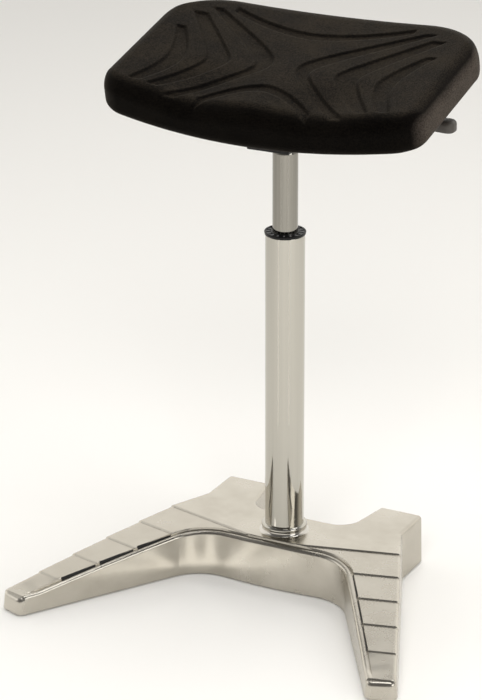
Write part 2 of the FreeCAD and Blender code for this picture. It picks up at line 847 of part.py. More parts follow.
def turned_with_seat(item):
    """Turns an object about the column with the seat."""
    item.Placement = Placement(ORIGIN, Rotation(Z_AXIS, number(size.seat_turn)))
    return item


def tilted_box(name, low, high):
    """A box in the seat plate's frame, before the seat is turned."""
    box = bound_box(name, low, high)
    for place in "xyz":
        box.setExpression(f"Placement.Base.{place}", None)
    base = Vector(0, 0, number(size.bracket_bottom + size.plate_height))
    tilt = Placement(base, Rotation(X_AXIS, number(size.seat_tilt)))
    corner = Vector(*[number(part) for part in low])
    box.Placement = tilt * Placement(corner, Rotation())
    return box


def mechanism_bracket():
    half = size.bracket_half_width
    wall = size.bracket_wall
    low = size.bracket_bottom
    high = low + size.plate_height * 1.6
    front = -size.bracket_front
    back = size.bracket_back
    outside = bound_box("bracket_block", (-half, front, low), (half, back, high))
    inside = bound_box("bracket_inside", (wall - half, front + wall, low + wall),
                       (half - wall, back - wall, high + 1.0))
    over = tilted_box("bracket_over", (-FAR, -FAR, 0.0), (FAR, FAR, FAR))
    shell = cut("bracket_shell", outside, [inside, over])
    plate = tilted_box("seat_plate_sheet", (-size.plate_half_width, -size.plate_front, 0.0),
                       (size.plate_half_width, size.plate_back, size.plate_thickness))
    rim_front = 12.0
    rim_back = 26.0
    window = tilted_box("seat_plate_window", (wall * 2 - half, rim_front - size.plate_front, -CLEAR),
                        (half - wall * 2, size.plate_back - rim_back, size.plate_thickness + CLEAR))
    pivot = low + size.pivot_height
    tall = 10.0
    near = size.knuckle_half + size.ear_gap
    far = near + size.ear_sheet
    out = size.pivot_x + 6.0
    ears = [
        bound_box("ear_front", (half, size.lever_y - far, pivot - tall),
                  (out, size.lever_y - near, pivot + tall)),
        bound_box("ear_back", (half, size.lever_y + near, pivot - tall),
                  (out, size.lever_y + far, pivot + tall)),
    ]
    body = fused("bracket_body", [shell, plate] + ears)
    slot = bound_box("lever_slot", (half - wall * 2, size.lever_y - near, pivot - size.lever_sheet),
                     (half + wall, size.lever_y + near, pivot + size.tab_lift * 2.7))
    pin_hole = bound_cylinder("pin_hole", size.pin_radius, far * 3,
                              (size.pivot_x, size.lever_y - far * 1.5, pivot),
                              Rotation(X_AXIS, -90))
    socket_hole = bound_cylinder("socket_hole", size.socket_radius, wall * 3,
                                 (0.0, 0.0, low - wall))
    tools = [window, slot, pin_hole, socket_hole]
    for index, (x, y) in enumerate(screw_places()):
        hole = doc.addObject("Part::Cylinder", f"plate_hole_{index}")
        hole.Radius = number(size.screw_radius + size.seat_gap)
        hole.setExpression("Radius", (size.screw_radius + size.seat_gap).text)
        hole.Height = CLEAR * 4
        base = Vector(0, 0, number(low + size.plate_height))
        tilt = Placement(base, Rotation(X_AXIS, number(size.seat_tilt)))
        hole.Placement = tilt * Placement(Vector(x, y, -CLEAR * 2), Rotation())
        tools.append(hole)
    keep(turned_with_seat(cut("mechanism_bracket", body, tools)))


def screw_places():
    """Where the seat screws stand in the seat plate's frame."""
    x = number(size.screw_x)
    front = -number(size.screw_front)
    back = number(size.screw_back)
    return [(-x, front), (x, front), (-x, back), (x, back)]


def revolved(profile):
    """A plain solid turned about Z from (radius, height) corners."""
    corners = [Vector(number(radius), 0, number(height)) for radius, height in profile]
    return Part.Face(Part.makePolygon(corners + corners[:1])).revolve(ORIGIN, Z_AXIS, 360)


def fastener_group(name, profile):
    """Four equal turned pieces at the seat screws, as one group."""
    one = revolved(profile)
    pieces = []
    for x, y in screw_places():
        piece = one.copy()
        piece.translate(Vector(x, y, 0))
        pieces.append(piece)
    shaped(name, Part.makeCompound(pieces), seat_frame())


def seat_fasteners():
    shank = size.screw_radius
    board_top = size.plate_thickness + size.board_thickness
    washer = 1.5
    head = 4.0
    rim = 1.5
    fastener_group("seat_screws", [
        (0.0, -washer - head),
        (shank * 1.7, -washer - head),
        (shank * 1.7, -washer),
        (shank, -washer),
        (shank, board_top - rim),
        (0.0, board_top - rim),
    ])
    fastener_group("screw_washers", [
        (shank, -washer),
        (shank * 2.1, -washer),
        (shank * 2.1, 0.0),
        (shank, 0.0),
    ])
    fastener_group("board_nuts", [
        (shank, size.plate_thickness + rim),
        (shank + rim, size.plate_thickness + rim),
        (shank + rim, board_top - rim),
        (shank * 3, board_top - rim),
        (shank * 3, board_top),
        (shank, board_top),
    ])


def lever():
    pivot = size.bracket_bottom + size.pivot_height
    tab_low = pivot + size.tab_lift
    tab_high = tab_low + size.lever_sheet
    half = size.knuckle_half
    front = size.lever_y - half
    back = size.lever_y + half
    out = size.pivot_x + 6.0
    reach = bound_box("lever_reach", (-half, -half, tab_low), (half, front, tab_high))
    arm = bound_box("lever_arm", (-half, front, tab_low), (out, back, tab_high))
    knuckle = bound_box("lever_knuckle", (size.pivot_x - 5.0, front, pivot - 5.0),
                        (out, back, tab_low))
    pin_bore = bound_cylinder("lever_bore", size.pin_radius + size.running_gap, half * 4,
                              (size.pivot_x, size.lever_y - half * 2, pivot), Rotation(X_AXIS, -90))
    start = Vector(number(out) - 1.0, number(size.lever_y), number(pivot))
    end = Vector(number(size.paddle_end) - number(size.paddle_height), number(size.lever_y),
                 number(pivot + size.paddle_rise))
    along = end - start
    rod = Part.makeCylinder(number(size.lever_rod_radius), along.Length, start, along)
    bar = fused("lever_bar", [reach, arm, knuckle])
    bored = cut("lever_bored", bar, [pin_bore])
    doc.recompute()
    keep(turned_with_seat(shaped_plain("release_lever", bored.Shape.fuse(rod))))
    paddle(start, end, pivot)
    lever_pin(pivot)


def shaped_plain(name, shape):
    item = doc.addObject("Part::Feature", name)
    item.Shape = shape
    return item


def paddle(start, end, pivot):
    """The moulded paddle pushed on the lever's end."""
    half = number(size.paddle_width) / 2
    outer = number(size.paddle_end)
    inner = outer - number(size.paddle_length)
    middle = number(size.lever_y)
    height = number(size.paddle_height)
    low = number(pivot + size.paddle_rise) - height / 2
    corner = 8.0
    neck = half * 0.6
    outline = [
        (inner, middle - neck, corner / 2),
        (outer, middle - half, corner),
        (outer, middle + half, corner),
        (inner, middle + neck, corner / 2),
    ]
    block = Part.Face(rounded_wire(outline, low)).extrude(Vector(0, 0, height))
    rims = [edge for edge in block.Edges if abs(edge.tangentAt(edge.FirstParameter).z) < 0.01]
    block = block.makeFillet(2.5, rims)
    along = end - start
    bore = Part.makeCylinder(number(size.lever_rod_radius), along.Length, start, along)
    item = shaped_plain("lever_paddle", block.cut(bore))
    keep(turned_with_seat(item))


def lever_pin(pivot):
    """Headed pivot pin with a push-on washer."""
    ear = number(size.knuckle_half + size.ear_gap + size.ear_sheet)
    radius = number(size.pin_radius)
    profile = [
        (0.0, -ear - 2.0),
        (radius + 1.5, -ear - 2.0),
        (radius + 1.5, -ear),
        (radius, -ear),
        (radius, ear + 3.0),
        (0.0, ear + 3.0),
    ]
    place = Vector(number(size.pivot_x), number(size.lever_y), number(pivot))
    along_y = Placement(place, Rotation(X_AXIS, -90))
    turn = Placement(ORIGIN, Rotation(Z_AXIS, number(size.seat_turn)))
    shaped("lever_pivot_pin", revolved(profile), turn * along_y)
    clip = [(radius, ear), (radius + 2.5, ear), (radius + 2.5, ear + 1.2), (radius, ear + 1.2)]
    shaped("pivot_pin_washer", revolved(clip), turn * along_y)


# Seat


def seat_board():
    """The moulded board that carries the foam."""
    board = keep(doc.addObject("PartDesign::Body", "seat_board"))
    sketch = new_sketch(board, "board_outline", "XY_Plane", size.plate_thickness)
    cut_off = 25.0
    half = size.board_half_width
    front = -size.board_front
    back = size.board_back
    sketch_polygon(sketch, [
        (cut_off - half, front),
        (half - cut_off, front),
        (half, front + cut_off),
        (half, back - cut_off),
        (half - cut_off, back),
        (cut_off - half, back),
        (-half, back - cut_off),
        (-half, front + cut_off),
    ])
    pad = board.newObject("PartDesign::Pad", "board_pad")
    pad.Profile = sketch
    pad.Length = number(size.board_thickness)
    pad.setExpression("Length", size.board_thickness.text)
    doc.recompute()
    top = size.plate_thickness + size.board_thickness
    rim = 1.5
    for name, radius, depth in (
        ("board_holes", size.screw_radius + rim, size.board_thickness),
        ("board_counterbores", size.screw_radius * 3, rim),
    ):
        holes = new_sketch(board, f"{name}_sketch", "XY_Plane", top)
        for x in (-size.screw_x, size.screw_x):
            for y in (-size.screw_front, size.screw_back):
                sketch_circle(holes, x, y, radius)
        pocket = board.newObject("PartDesign::Pocket", name)
        pocket.Profile = holes
        pocket.Length = number(depth)
        pocket.setExpression("Length", as_size(depth).text)
    board.Placement = seat_frame()


def rounding(distance, radius):
    """How far a round of a radius falls away at a distance from its outer end."""
    inside = max(radius - distance, 0.0)
    return radius - math.sqrt(max(radius * radius - inside * inside, 0.0))


def cushion_section(x):
    """The cushion's section across X in its own frame: front wall, lip, top, back, underside."""
    half = number(size.seat_half_width)
    share = abs(x) / half
    edge = half - abs(x)
    front = -number(size.seat_front) + number(size.seat_bow) * share ** 2
    front += rounding(edge, number(size.corner_front))
    back = number(size.seat_back) - rounding(edge, number(size.corner_back))
    low = number(size.underside_rise) * share ** 2 + rounding(edge, number(size.under_radius)) * 0.7
    top = number(size.seat_thickness) + number(size.seat_rise) * share ** 2
    top -= rounding(edge, number(size.side_radius))
    tall = top - low
    fit = min(1.0, tall / number(size.seat_thickness))
    lip = number(size.lip_radius) * fit
    rear = number(size.rear_radius) * fit
    under = number(size.under_radius) * fit
    hollow = (abs(x) - number(size.thigh_dip_x)) / number(size.thigh_dip_spread)
    dip = number(size.thigh_dip) * math.exp(-hollow * hollow)
    crest = front + lip + number(size.thigh_dip_length)
    corner = 1 - math.sqrt(0.5)
    lip_top = top - dip

    def point(y, z):
        return Vector(x, y, z)

    def arc(start, middle, end):
        return Part.Arc(point(*start), point(*middle), point(*end)).toShape()

    def line(start, end):
        return Part.LineSegment(point(*start), point(*end)).toShape()

    edges = [
        line((back - under, low), (front + under, low)),
        arc((front + under, low), (front + under * corner, low + under * corner),
            (front, low + under)),
        line((front, low + under), (front, lip_top - lip)),
        arc((front, lip_top - lip), (front + lip * corner, lip_top - lip * corner),
            (front + lip, lip_top)),
        line((front + lip, lip_top), (crest, top)),
        line((crest, top), (back - rear, top)),
        arc((back - rear, top), (back - rear * corner, top - rear * corner), (back, top - rear)),
        line((back, top - rear), (back, low + under)),
        arc((back, low + under), (back - under * corner, low + under * corner),
            (back - under, low)),
    ]
    return Part.Wire(edges)


STATIONS = (0.0, 0.2, 0.4, 0.6, 0.74, 0.84, 0.905, 0.95, 0.98, 0.996)


def cushion_block():
    """The cushion's form before its channels and recesses."""
    half = number(size.seat_half_width)
    places = sorted({sign * share * half for share in STATIONS for sign in (-1, 1)})
    sections = [cushion_section(x) for x in places]
    return Part.makeLoft(sections, True, False)


def bowed_edge(rear, vertex, front):
    """A parabola from rear over its vertex to front, as a curve with one control point."""
    control = (vertex - rear * 0.25 - front * 0.25) * 2
    curve = Part.BezierCurve()
    curve.setPoles([rear, control, front])
    return curve.toShape()


def channel_outline(rear, front, inner, outer, half):
    """A band between two parabolas that share their direction at the ends."""
    rear = Vector(*rear, 0)
    front = Vector(*front, 0)
    inner = Vector(*inner, 0)
    outer = Vector(*outer, 0)
    middle = (inner + outer) * 0.5
    across = (outer - inner).normalize()
    edges = []
    ends = []
    for vertex, side in ((inner, -1), (outer, 1)):
        shift = across * (half * side)
        ends.append((rear + shift, front + shift))
        edges.append(bowed_edge(rear + shift, vertex, front + shift))
    outward_rear = (rear - middle).normalize() * half
    outward_front = (front - middle).normalize() * half
    cap_rear = Part.Arc(ends[0][0], rear + outward_rear, ends[1][0]).toShape()
    cap_front = Part.Arc(ends[0][1], front + outward_front, ends[1][1]).toShape()
    return Part.Wire(Part.__sortEdges__([edges[0], cap_front, edges[1], cap_rear]))


# Moulded channels at each side as seen from straight above, from the column's axis: along the inner
# edge from the rear to the front and back along the outer edge. The second and fifth corners are the
# wide rounds that point to the middle.
SIDE_CHANNELS = [
    [(139.0, 115.0, 3.0), (-17.5, -0.7, 56.0), (84.5, -86.8, 3.0),
     (97.0, -81.4, 3.0), (18.5, -9.9, 40.0), (142.0, 104.0, 3.0)],
    [(152.0, 97.0, 4.0), (61.3, -11.2, 38.0), (125.0, -81.3, 4.0),
     (140.5, -80.5, 4.0), (92.5, -12.8, 46.0), (165.0, 88.0, 4.0)],
    [(168.0, 58.2, 1.5), (112.0, -18.0, 82.0), (152.5, -75.5, 3.0),
     (163.5, -75.0, 3.0), (134.4, -23.0, 146.0), (172.5, 57.0, 1.5)],
]

# Channels across the middle: both ends, both vertices and half the width at the ends
REAR_CHANNEL = ((121.0, 119.0), (-121.0, 119.0), (0.0, 82.0), (0.0, 70.0), 4.0)
FRONT_CHANNEL = ((62.0, -87.0), (-62.0, -87.0), (0.0, -66.0), (0.0, -54.0), 4.0)


def channel_faces():
    """The plan of every channel."""
    faces = []
    for corners in SIDE_CHANNELS:
        face = Part.Face(rounded_wire(corners, 0.0))
        faces += [face, mirrored(face)]
    for row in (REAR_CHANNEL, FRONT_CHANNEL):
        faces.append(Part.Face(channel_outline(*row)))
    return faces


def seat_cushion():
    block = cushion_block()
    lowered = block.copy()
    lowered.translate(Vector(0, 0, -number(size.channel_depth)))
    for face in channel_faces():
        prism = face.extrude(Z_AXIS * (2 * number(size.seat_thickness)))
        prism.translate(Z_AXIS * (number(size.seat_thickness) / 4))
        prism.rotate(ORIGIN, X_AXIS, -number(size.seat_tilt))
        block = block.cut(prism.cut(lowered))
    gap = number(size.seat_gap)
    half = number(size.board_half_width) + gap
    front = number(size.board_front) + gap
    depth = number(size.board_back) + gap + front
    board_top = number(size.plate_thickness + size.board_thickness)
    pocket = Part.makeBox(2 * half, depth, board_top + CLEAR, Vector(-half, -front, -CLEAR))
    shaped("seat_cushion", block.cut(pocket), seat_frame())


base_casting()
glides()
inside_bottom = column()
rod_shoulder = thrust_bearing(inside_bottom)
gas_spring(rod_shoulder, size.tube_bottom)
pressure_cylinder()
mechanism_bracket()
lever()
seat_board()
seat_fasteners()
seat_cushion()
doc.recompute()

for item in doc.Objects:
    if "Invalid" in item.State or "Error" in item.State:
        raise RuntimeError(f"{item.Label} failed: {item.State}")
for item in nodes:
    if item.Shape.isNull() or not item.Shape.isValid():
        raise RuntimeError(f"{item.Label} has no valid shape")

os.makedirs("parts", exist_ok=True)
for item in nodes:
    item.Shape.exportStep(f"parts/{item.Label}.step")
print(len(nodes), "sub-parts written")
for item in nodes:
    box = item.Shape.BoundBox
    print(f"{item.Label:22s} solids {len(item.Shape.Solids)} volume {item.Shape.Volume:10.0f} "
          f"x {box.XMin:7.1f} {box.XMax:7.1f} y {box.YMin:7.1f} {box.YMax:7.1f} "
          f"z {box.ZMin:7.1f} {box.ZMax:7.1f}")
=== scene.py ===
import json
import math

import bmesh
import bpy
from mathutils import Matrix, Vector
from mathutils.geometry import delaunay_2d_cdt


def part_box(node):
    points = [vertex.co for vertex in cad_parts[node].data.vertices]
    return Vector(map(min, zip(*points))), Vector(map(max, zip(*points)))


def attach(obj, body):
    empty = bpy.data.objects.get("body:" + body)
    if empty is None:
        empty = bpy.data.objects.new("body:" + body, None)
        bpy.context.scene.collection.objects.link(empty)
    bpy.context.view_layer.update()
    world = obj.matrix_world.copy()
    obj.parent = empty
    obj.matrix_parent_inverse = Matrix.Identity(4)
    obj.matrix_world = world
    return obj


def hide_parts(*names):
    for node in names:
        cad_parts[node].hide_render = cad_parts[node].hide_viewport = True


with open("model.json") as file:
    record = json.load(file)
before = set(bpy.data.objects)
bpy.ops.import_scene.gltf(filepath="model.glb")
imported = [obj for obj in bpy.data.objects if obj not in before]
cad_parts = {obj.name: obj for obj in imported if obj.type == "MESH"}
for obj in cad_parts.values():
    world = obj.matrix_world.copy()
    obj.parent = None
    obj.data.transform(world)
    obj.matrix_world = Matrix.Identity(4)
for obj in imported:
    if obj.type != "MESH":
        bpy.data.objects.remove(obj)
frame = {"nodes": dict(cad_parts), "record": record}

# A perch stool dressed for a studio picture. Lengths here are in millimetres and are turned to metres
# where a mesh is made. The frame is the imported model's: origin on the floor on the column's axis,
# +Z up, front towards -Y.

MM = 0.001
SEAT_TURN = 1.8
NODES = frame["nodes"]
scene = bpy.context.scene
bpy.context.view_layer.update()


# Camera: place and lens fitted to the photograph

PICTURE_WIDE = 482
PICTURE_HIGH = 700
SENSOR = 36.0
FOCAL_PIXELS = 3097.4
CENTRE_PIXEL = (245.93, 345.44)
CAMERA_PLACE = (1631.86, -3243.54, 1757.23)
CAMERA_YAW = -27.482
CAMERA_PITCH = 21.582
CAMERA_ROLL = 0.117
CLIP_END = 100


def make_camera():
    """The camera, with the picture's centre shifted as in the photograph."""
    yaw = math.radians(CAMERA_YAW)
    pitch = math.radians(CAMERA_PITCH)
    roll = math.radians(CAMERA_ROLL)
    ahead = Vector((
        math.sin(yaw) * math.cos(pitch), math.cos(yaw) * math.cos(pitch), -math.sin(pitch)))
    level = Vector((math.cos(yaw), -math.sin(yaw), 0))
    down = ahead.cross(level)
    right = level * math.cos(roll) + down * math.sin(roll)
    down = down * math.cos(roll) - level * math.sin(roll)
    data = bpy.data.cameras.new("camera")
    data.sensor_width = SENSOR
    data.lens = FOCAL_PIXELS * SENSOR / PICTURE_HIGH
    data.shift_x = (PICTURE_WIDE / 2 - CENTRE_PIXEL[0]) / PICTURE_HIGH
    data.shift_y = (CENTRE_PIXEL[1] - PICTURE_HIGH / 2) / PICTURE_HIGH
    data.clip_end = CLIP_END
    camera = bpy.data.objects.new("camera", data)
    place = Vector(CAMERA_PLACE) * MM
    turn = Matrix((right, -down, -ahead)).transposed()
    camera.matrix_world = Matrix.Translation(place) @ turn.to_4x4()
    scene.collection.objects.link(camera)
    scene.camera = camera


# Materials


class Nodes:
    """Short calls for adding nodes to a tree."""

    def __init__(self, tree):
        self.tree = tree

    def fill(self, node, sockets):
        for name, value in sockets.items():
            self.plug(node.inputs[name.replace("_", " ")], value)

    def plug(self, socket, value):
        if isinstance(value, bpy.types.NodeSocket):
            self.tree.links.new(value, socket)
        elif isinstance(value, (tuple, list)) and len(value) == 3 and socket.type == "RGBA":
            socket.default_value = (*value, 1.0)
        else:
            socket.default_value = value

    def add(self, kind, output=0, settings=(), **sockets):
        """Adds a node and returns one of its outputs."""
        node = self.tree.nodes.new(kind)
        for name, value in dict(settings).items():
            setattr(node, name, value)
        self.fill(node, sockets)
        return node.outputs[output]

    def place(self, scale=(1, 1, 1)):
        """Object coordinates, scaled."""
        place = self.add("ShaderNodeTexCoord", "Object")
        return self.add("ShaderNodeMapping", Vector=place, Scale=scale)

    def noise(self, vector, scale, detail=4.0, roughness=0.5):
        return self.add("ShaderNodeTexNoise", "Fac", Vector=vector, Scale=scale, Detail=detail,
                        Roughness=roughness)

    def ramp(self, value, *stops):
        """A colour ramp with (place, colour) stops."""
        node = self.tree.nodes.new("ShaderNodeValToRGB")
        while len(node.color_ramp.elements) < len(stops):
            node.color_ramp.elements.new(1.0)
        for element, (place, colour) in zip(node.color_ramp.elements, stops):
            element.position = place
            element.color = (*colour, 1.0)
        self.tree.links.new(value, node.inputs["Fac"])
        return node.outputs["Color"]

    def range(self, value, low, high, first=0.3, last=0.7):
        """Maps first..last, unless given the usual span of a noise, to low..high."""
        keys = {"From Min": first, "From Max": last, "To Min": low, "To Max": high}
        node = self.tree.nodes.new("ShaderNodeMapRange")
        self.fill(node, keys)
        self.tree.links.new(value, node.inputs["Value"])
        return node.outputs["Result"]

    def math(self, operation, *values):
        node = self.tree.nodes.new("ShaderNodeMath")
        node.operation = operation
        for socket, value in zip(node.inputs, values):
            self.plug(socket, value)
        return node.outputs[0]

    def dot(self, first, second):
        node = self.tree.nodes.new("ShaderNodeVectorMath")
        node.operation = "DOT_PRODUCT"
        self.plug(node.inputs[0], first)
        self.plug(node.inputs[1], second)
        return node.outputs["Value"]


class Shader(Nodes):
    """A material with a Principled shader."""

    def __init__(self, name, **sockets):
        self.material = bpy.data.materials.new(name)
        self.material.use_nodes = True
        super().__init__(self.material.node_tree)
        self.shader = self.tree.nodes["Principled BSDF"]
        self.fill(self.shader, sockets)

    def bump(self, height, distance):
        """Joins a bump to the shader; distance is in millimetres."""
        normal = self.add("ShaderNodeBump", "Normal", Height=height, Distance=distance * MM)
        self.tree.links.new(normal, self.shader.inputs["Normal"])

    def set(self, **sockets):
        self.fill(self.shader, sockets)


# How much the colour and the roughness of steel and of plastic vary over a surface
STEEL_SHADE = 0.82
STEEL_SPREAD = 0.08
PLASTIC_SHINE = 1.25
PLASTIC_SPREAD = 0.06


def casting_material():
    """Polished cast aluminium, a little cloudy, with fine polishing marks."""
    made = Shader("casting_polished", Metallic=1.0)
    place = made.place()
    cloud = made.noise(place, 10.0, 6.0, 0.6)
    marks = made.noise(made.place((30, 30, 260)), 9.0, 3.0, 0.6)
    waves = made.noise(place, 14.0, 2.0, 0.4)
    made.set(
        Base_Color=made.ramp(cloud, (0.34, (0.455, 0.424, 0.364)), (0.66, (0.585, 0.552, 0.486))),
        Roughness=made.range(cloud, 0.20, 0.32),
    )
    made.bump(made.math("ADD", made.math("MULTIPLY", marks, 0.2), waves), 0.10)
    return made.material


def polish_material():
    """The brighter polish round the column's foot."""
    made = Shader("casting_mirror", Metallic=1.0)
    cloud = made.noise(made.place(), 30.0, 4.0)
    made.set(
        Base_Color=made.ramp(cloud, (0.3, (0.50, 0.475, 0.43)), (0.7, (0.56, 0.535, 0.49))),
        Roughness=made.range(cloud, 0.08, 0.14),
    )
    return made.material


def chrome_material(name, dull, bright):
    """Chrome plate with faint wipe marks."""
    made = Shader(name, Metallic=1.0)
    wipe = made.noise(made.place((90, 90, 0.6)), 3.0, 4.0)
    made.set(
        Base_Color=made.ramp(wipe, (0.2, dull), (0.8, bright)),
        Roughness=made.range(wipe, 0.045, 0.09),
    )
    return made.material


def steel_material(name, colour, rough=0.34):
    """Plain or zinc-plated turned steel."""
    made = Shader(name, Metallic=1.0)
    rings = made.noise(made.place((40, 40, 700)), 4.0, 3.0)
    darker = tuple(part * STEEL_SHADE for part in colour)
    made.set(Base_Color=made.ramp(rings, (0.25, darker), (0.75, colour)),
             Roughness=made.range(rings, rough - STEEL_SPREAD, rough + STEEL_SPREAD))
    made.bump(rings, 0.03)
    return made.material


def foam_material():
    """Black-brown polyurethane skin with a fine grain, painted paler on top and on the side walls as
    light and sheen falling on them.
    """
    made = Shader("foam_skin", Specular_IOR_Level=0.02, Sheen_Weight=0.03, Sheen_Roughness=0.5,
                  Sheen_Tint=(1.0, 0.80, 0.58))
    place = made.place()
    cells = made.add("ShaderNodeTexVoronoi", "Distance", (("feature", "DISTANCE_TO_EDGE"),),
                     Vector=place, Scale=620.0, Randomness=1.0)
    fine = made.noise(place, 900.0, 3.0)
    cloud = made.noise(place, 22.0, 5.0, 0.6)
    pores = made.math("MULTIPLY", made.range(cells, 0.0, 1.0, 0.0, 0.22), 0.8)
    grain = made.math("ADD", pores, made.math("MULTIPLY", fine, 0.5))
    speckle = made.noise(place, 560.0, 2.0)
    shade = made.math("ADD", made.math("MULTIPLY", cloud, 0.35), made.math("MULTIPLY", speckle, 0.65))
    skin = made.ramp(shade, (0.40, (0.0005, 0.0004, 0.0004)), (0.62, (0.0036, 0.0029, 0.0022)))
    # Painted light: upward faces get this paler colour for the light and sheen falling on the top
    top_light_paint = made.ramp(shade, (0.41, (0.0010, 0.0008, 0.0006)), (0.59, (0.0190, 0.0150, 0.0104)))
    # Painted sheen: the side walls get this paler colour for the light they catch at a grazing angle
    side_sheen_paint = made.ramp(shade, (0.41, (0.027, 0.022, 0.018)), (0.59, (0.066, 0.054, 0.045)))
    facing = made.add("ShaderNodeNewGeometry", "Normal")
    upward = made.add("ShaderNodeSeparateXYZ", "Z", Vector=facing)
    # Upward faces take the painted top light
    skin = made.add("ShaderNodeMixRGB", Fac=made.range(upward, 0.0, 1.0, 0.70, 0.96), Color1=skin,
                    Color2=top_light_paint)
    turn = math.radians(SEAT_TURN)
    sideways = made.math("ABSOLUTE", made.dot(facing, (math.cos(turn), math.sin(turn), 0.0)))
    made.set(
        # Side walls take the painted sheen
        Base_Color=made.add("ShaderNodeMixRGB", Fac=made.range(sideways, 0.0, 1.0, 0.72, 0.98),
                            Color1=skin, Color2=side_sheen_paint),
        Roughness=made.range(cloud, 0.48, 0.6),
    )
    made.bump(grain, 0.11)
    return made.material


def plastic_material(name, colour, rough=0.5, grain=0.05, gloss=0.5):
    """Moulded plastic or rubber with a fine texture."""
    made = Shader(name, Specular_IOR_Level=gloss)
    speckle = made.noise(made.place(), 420.0, 3.0)
    lighter = tuple(part * PLASTIC_SHINE for part in colour)
    made.set(Base_Color=made.ramp(speckle, (0.3, colour), (0.8, lighter)),
             Roughness=made.range(speckle, rough - PLASTIC_SPREAD, rough + PLASTIC_SPREAD))
    made.bump(speckle, grain)
    return made.material


def plywood_material():
    """Plain plywood with its grain along X."""
    made = Shader("plywood")
    grain = made.noise(made.place((6, 120, 120)), 3.0, 6.0, 0.6)
    made.set(Base_Color=made.ramp(grain, (0.3, (0.42, 0.28, 0.15)), (0.7, (0.62, 0.45, 0.27))),
             Roughness=made.range(grain, 0.5, 0.7))
    made.bump(grain, 0.1)
    return made.material


def make_materials():
    """One material for each slot of the record, and a few more for pieces made here."""
    return {
        "casting": casting_material(),
        "glide": plastic_material("glide_rubber", (0.012, 0.012, 0.012), 0.6),
        "chrome": chrome_material("chrome_plate", (0.462, 0.444, 0.398), (0.505, 0.486, 0.436)),
        "rod": chrome_material("rod_plate", (0.235, 0.225, 0.198), (0.330, 0.316, 0.284)),
        "steel": steel_material("zinc_steel", (0.60, 0.60, 0.60)),
        "bush": plastic_material("bush_plastic", (0.004, 0.004, 0.004), 0.38, 0.03, 0.2),
        "cage": steel_material("cage_brass", (0.66, 0.48, 0.20)),
        "buffer": plastic_material("buffer_rubber", (0.02, 0.02, 0.02), 0.6),
        "alloy": steel_material("turned_alloy", (0.72, 0.72, 0.72), 0.28),
        "seal": plastic_material("seal_rubber", (0.008, 0.008, 0.008), 0.45),
        "black_steel": plastic_material("powder_coat", (0.007, 0.007, 0.007), 0.42, 0.08, 0.3),
        "paddle": plastic_material("paddle_plastic", (0.052, 0.045, 0.038), 0.45, 0.08),
        "board": plywood_material(),
        "cushion": foam_material(),
        "polish": polish_material(),
        # A dark strip that paints the shade of the gap between treads and ledge
        "groove": plastic_material("groove_painted_shade", (0.010, 0.009, 0.008), 0.6),
        # Grey ribs in the black bush: painted highlights on the pocket rims
        "pocket": plastic_material("rib_painted_glint", (0.16, 0.16, 0.16), 0.5),
    }


def give_material(piece, material):
    piece.data.materials.clear()
    piece.data.materials.append(material)


def dress_nodes():
    """Puts each CAD node's material on it."""
    for entry in frame["record"]["subparts"]:
        give_material(NODES[entry["node"]], MATERIALS[entry["material_slot"]])


# Meshes

CREASE = 35.0
FOOT_CREASE = 40.0
WIDE_CREASE = 50.0
CUSHION_CREASE = 60.0
ON_AXIS = 1e-6


def make_piece(name, mesh_data, body, material, replaced=(), crease=CREASE):
    """Links a bmesh as a piece that rides on a body, smooth up to the crease angle in degrees."""
    mesh = bpy.data.meshes.new(name)
    mesh_data.to_mesh(mesh)
    mesh_data.free()
    piece = bpy.data.objects.new(name, mesh)
    scene.collection.objects.link(piece)
    mesh.shade_smooth()
    mesh.set_sharp_from_angle(angle=math.radians(crease))
    mesh.materials.append(material)
    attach(piece, body)
    if replaced:
        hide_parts(*replaced)
    return piece


def lathe(profile, steps, centre=(0, 0)):
    """A bmesh turned about Z from closed (radius, height) points in millimetres."""
    made = bmesh.new()
    rings = []
    for radius, height in profile:
        if radius < ON_AXIS:
            rings.append([made.verts.new((centre[0] * MM, centre[1] * MM, height * MM))] * steps)
            continue
        ring = []
        for step in range(steps):
            angle = math.tau * step / steps
            ring.append(made.verts.new((
                (centre[0] + radius * math.cos(angle)) * MM,
                (centre[1] + radius * math.sin(angle)) * MM,
                height * MM,
            )))
        rings.append(ring)
    count = len(profile)
    for index in range(count):
        first = rings[index]
        second = rings[(index + 1) % count]
        for step in range(steps):
            after = (step + 1) % steps
            corners = [first[step], second[step], second[after], first[after]]
            face = []
            for corner in corners:
                if corner not in face:
                    face.append(corner)
            if len(face) > 2 and made.faces.get(face) is None:
                made.faces.new(face)
    bmesh.ops.recalc_face_normals(made, faces=made.faces)
    return made


def arc_points(centre, radius, start, end, steps):
    """Points on an arc in a profile, angles in degrees."""
    points = []
    for step in range(steps + 1):
        angle = math.radians(start + (end - start) * step / steps)
        points.append((centre[0] + radius * math.cos(angle), centre[1] + radius * math.sin(angle)))
    return points


def sides(ring):
    """The sides of a closed ring as pairs of points."""
    return [(ring[index], ring[(index + 1) % len(ring)]) for index in range(len(ring))]


def join_rings(made, rings):
    """Joins rings of vertices one after the other into a closed skin with two end faces."""
    for first, second in zip(rings, rings[1:]):
        count = len(first)
        for index in range(count):
            after = (index + 1) % count
            made.faces.new((first[index], first[after], second[after], second[index]))
    made.faces.new(rings[0])
    made.faces.new(rings[-1])
    bmesh.ops.recalc_face_normals(made, faces=made.faces)


ARC_DEGREES = 6.0
ARC_LEAST_STEPS = 3
ARC_LEAST_RADIUS = 0.05
OUTLINE_GAP = 7.0


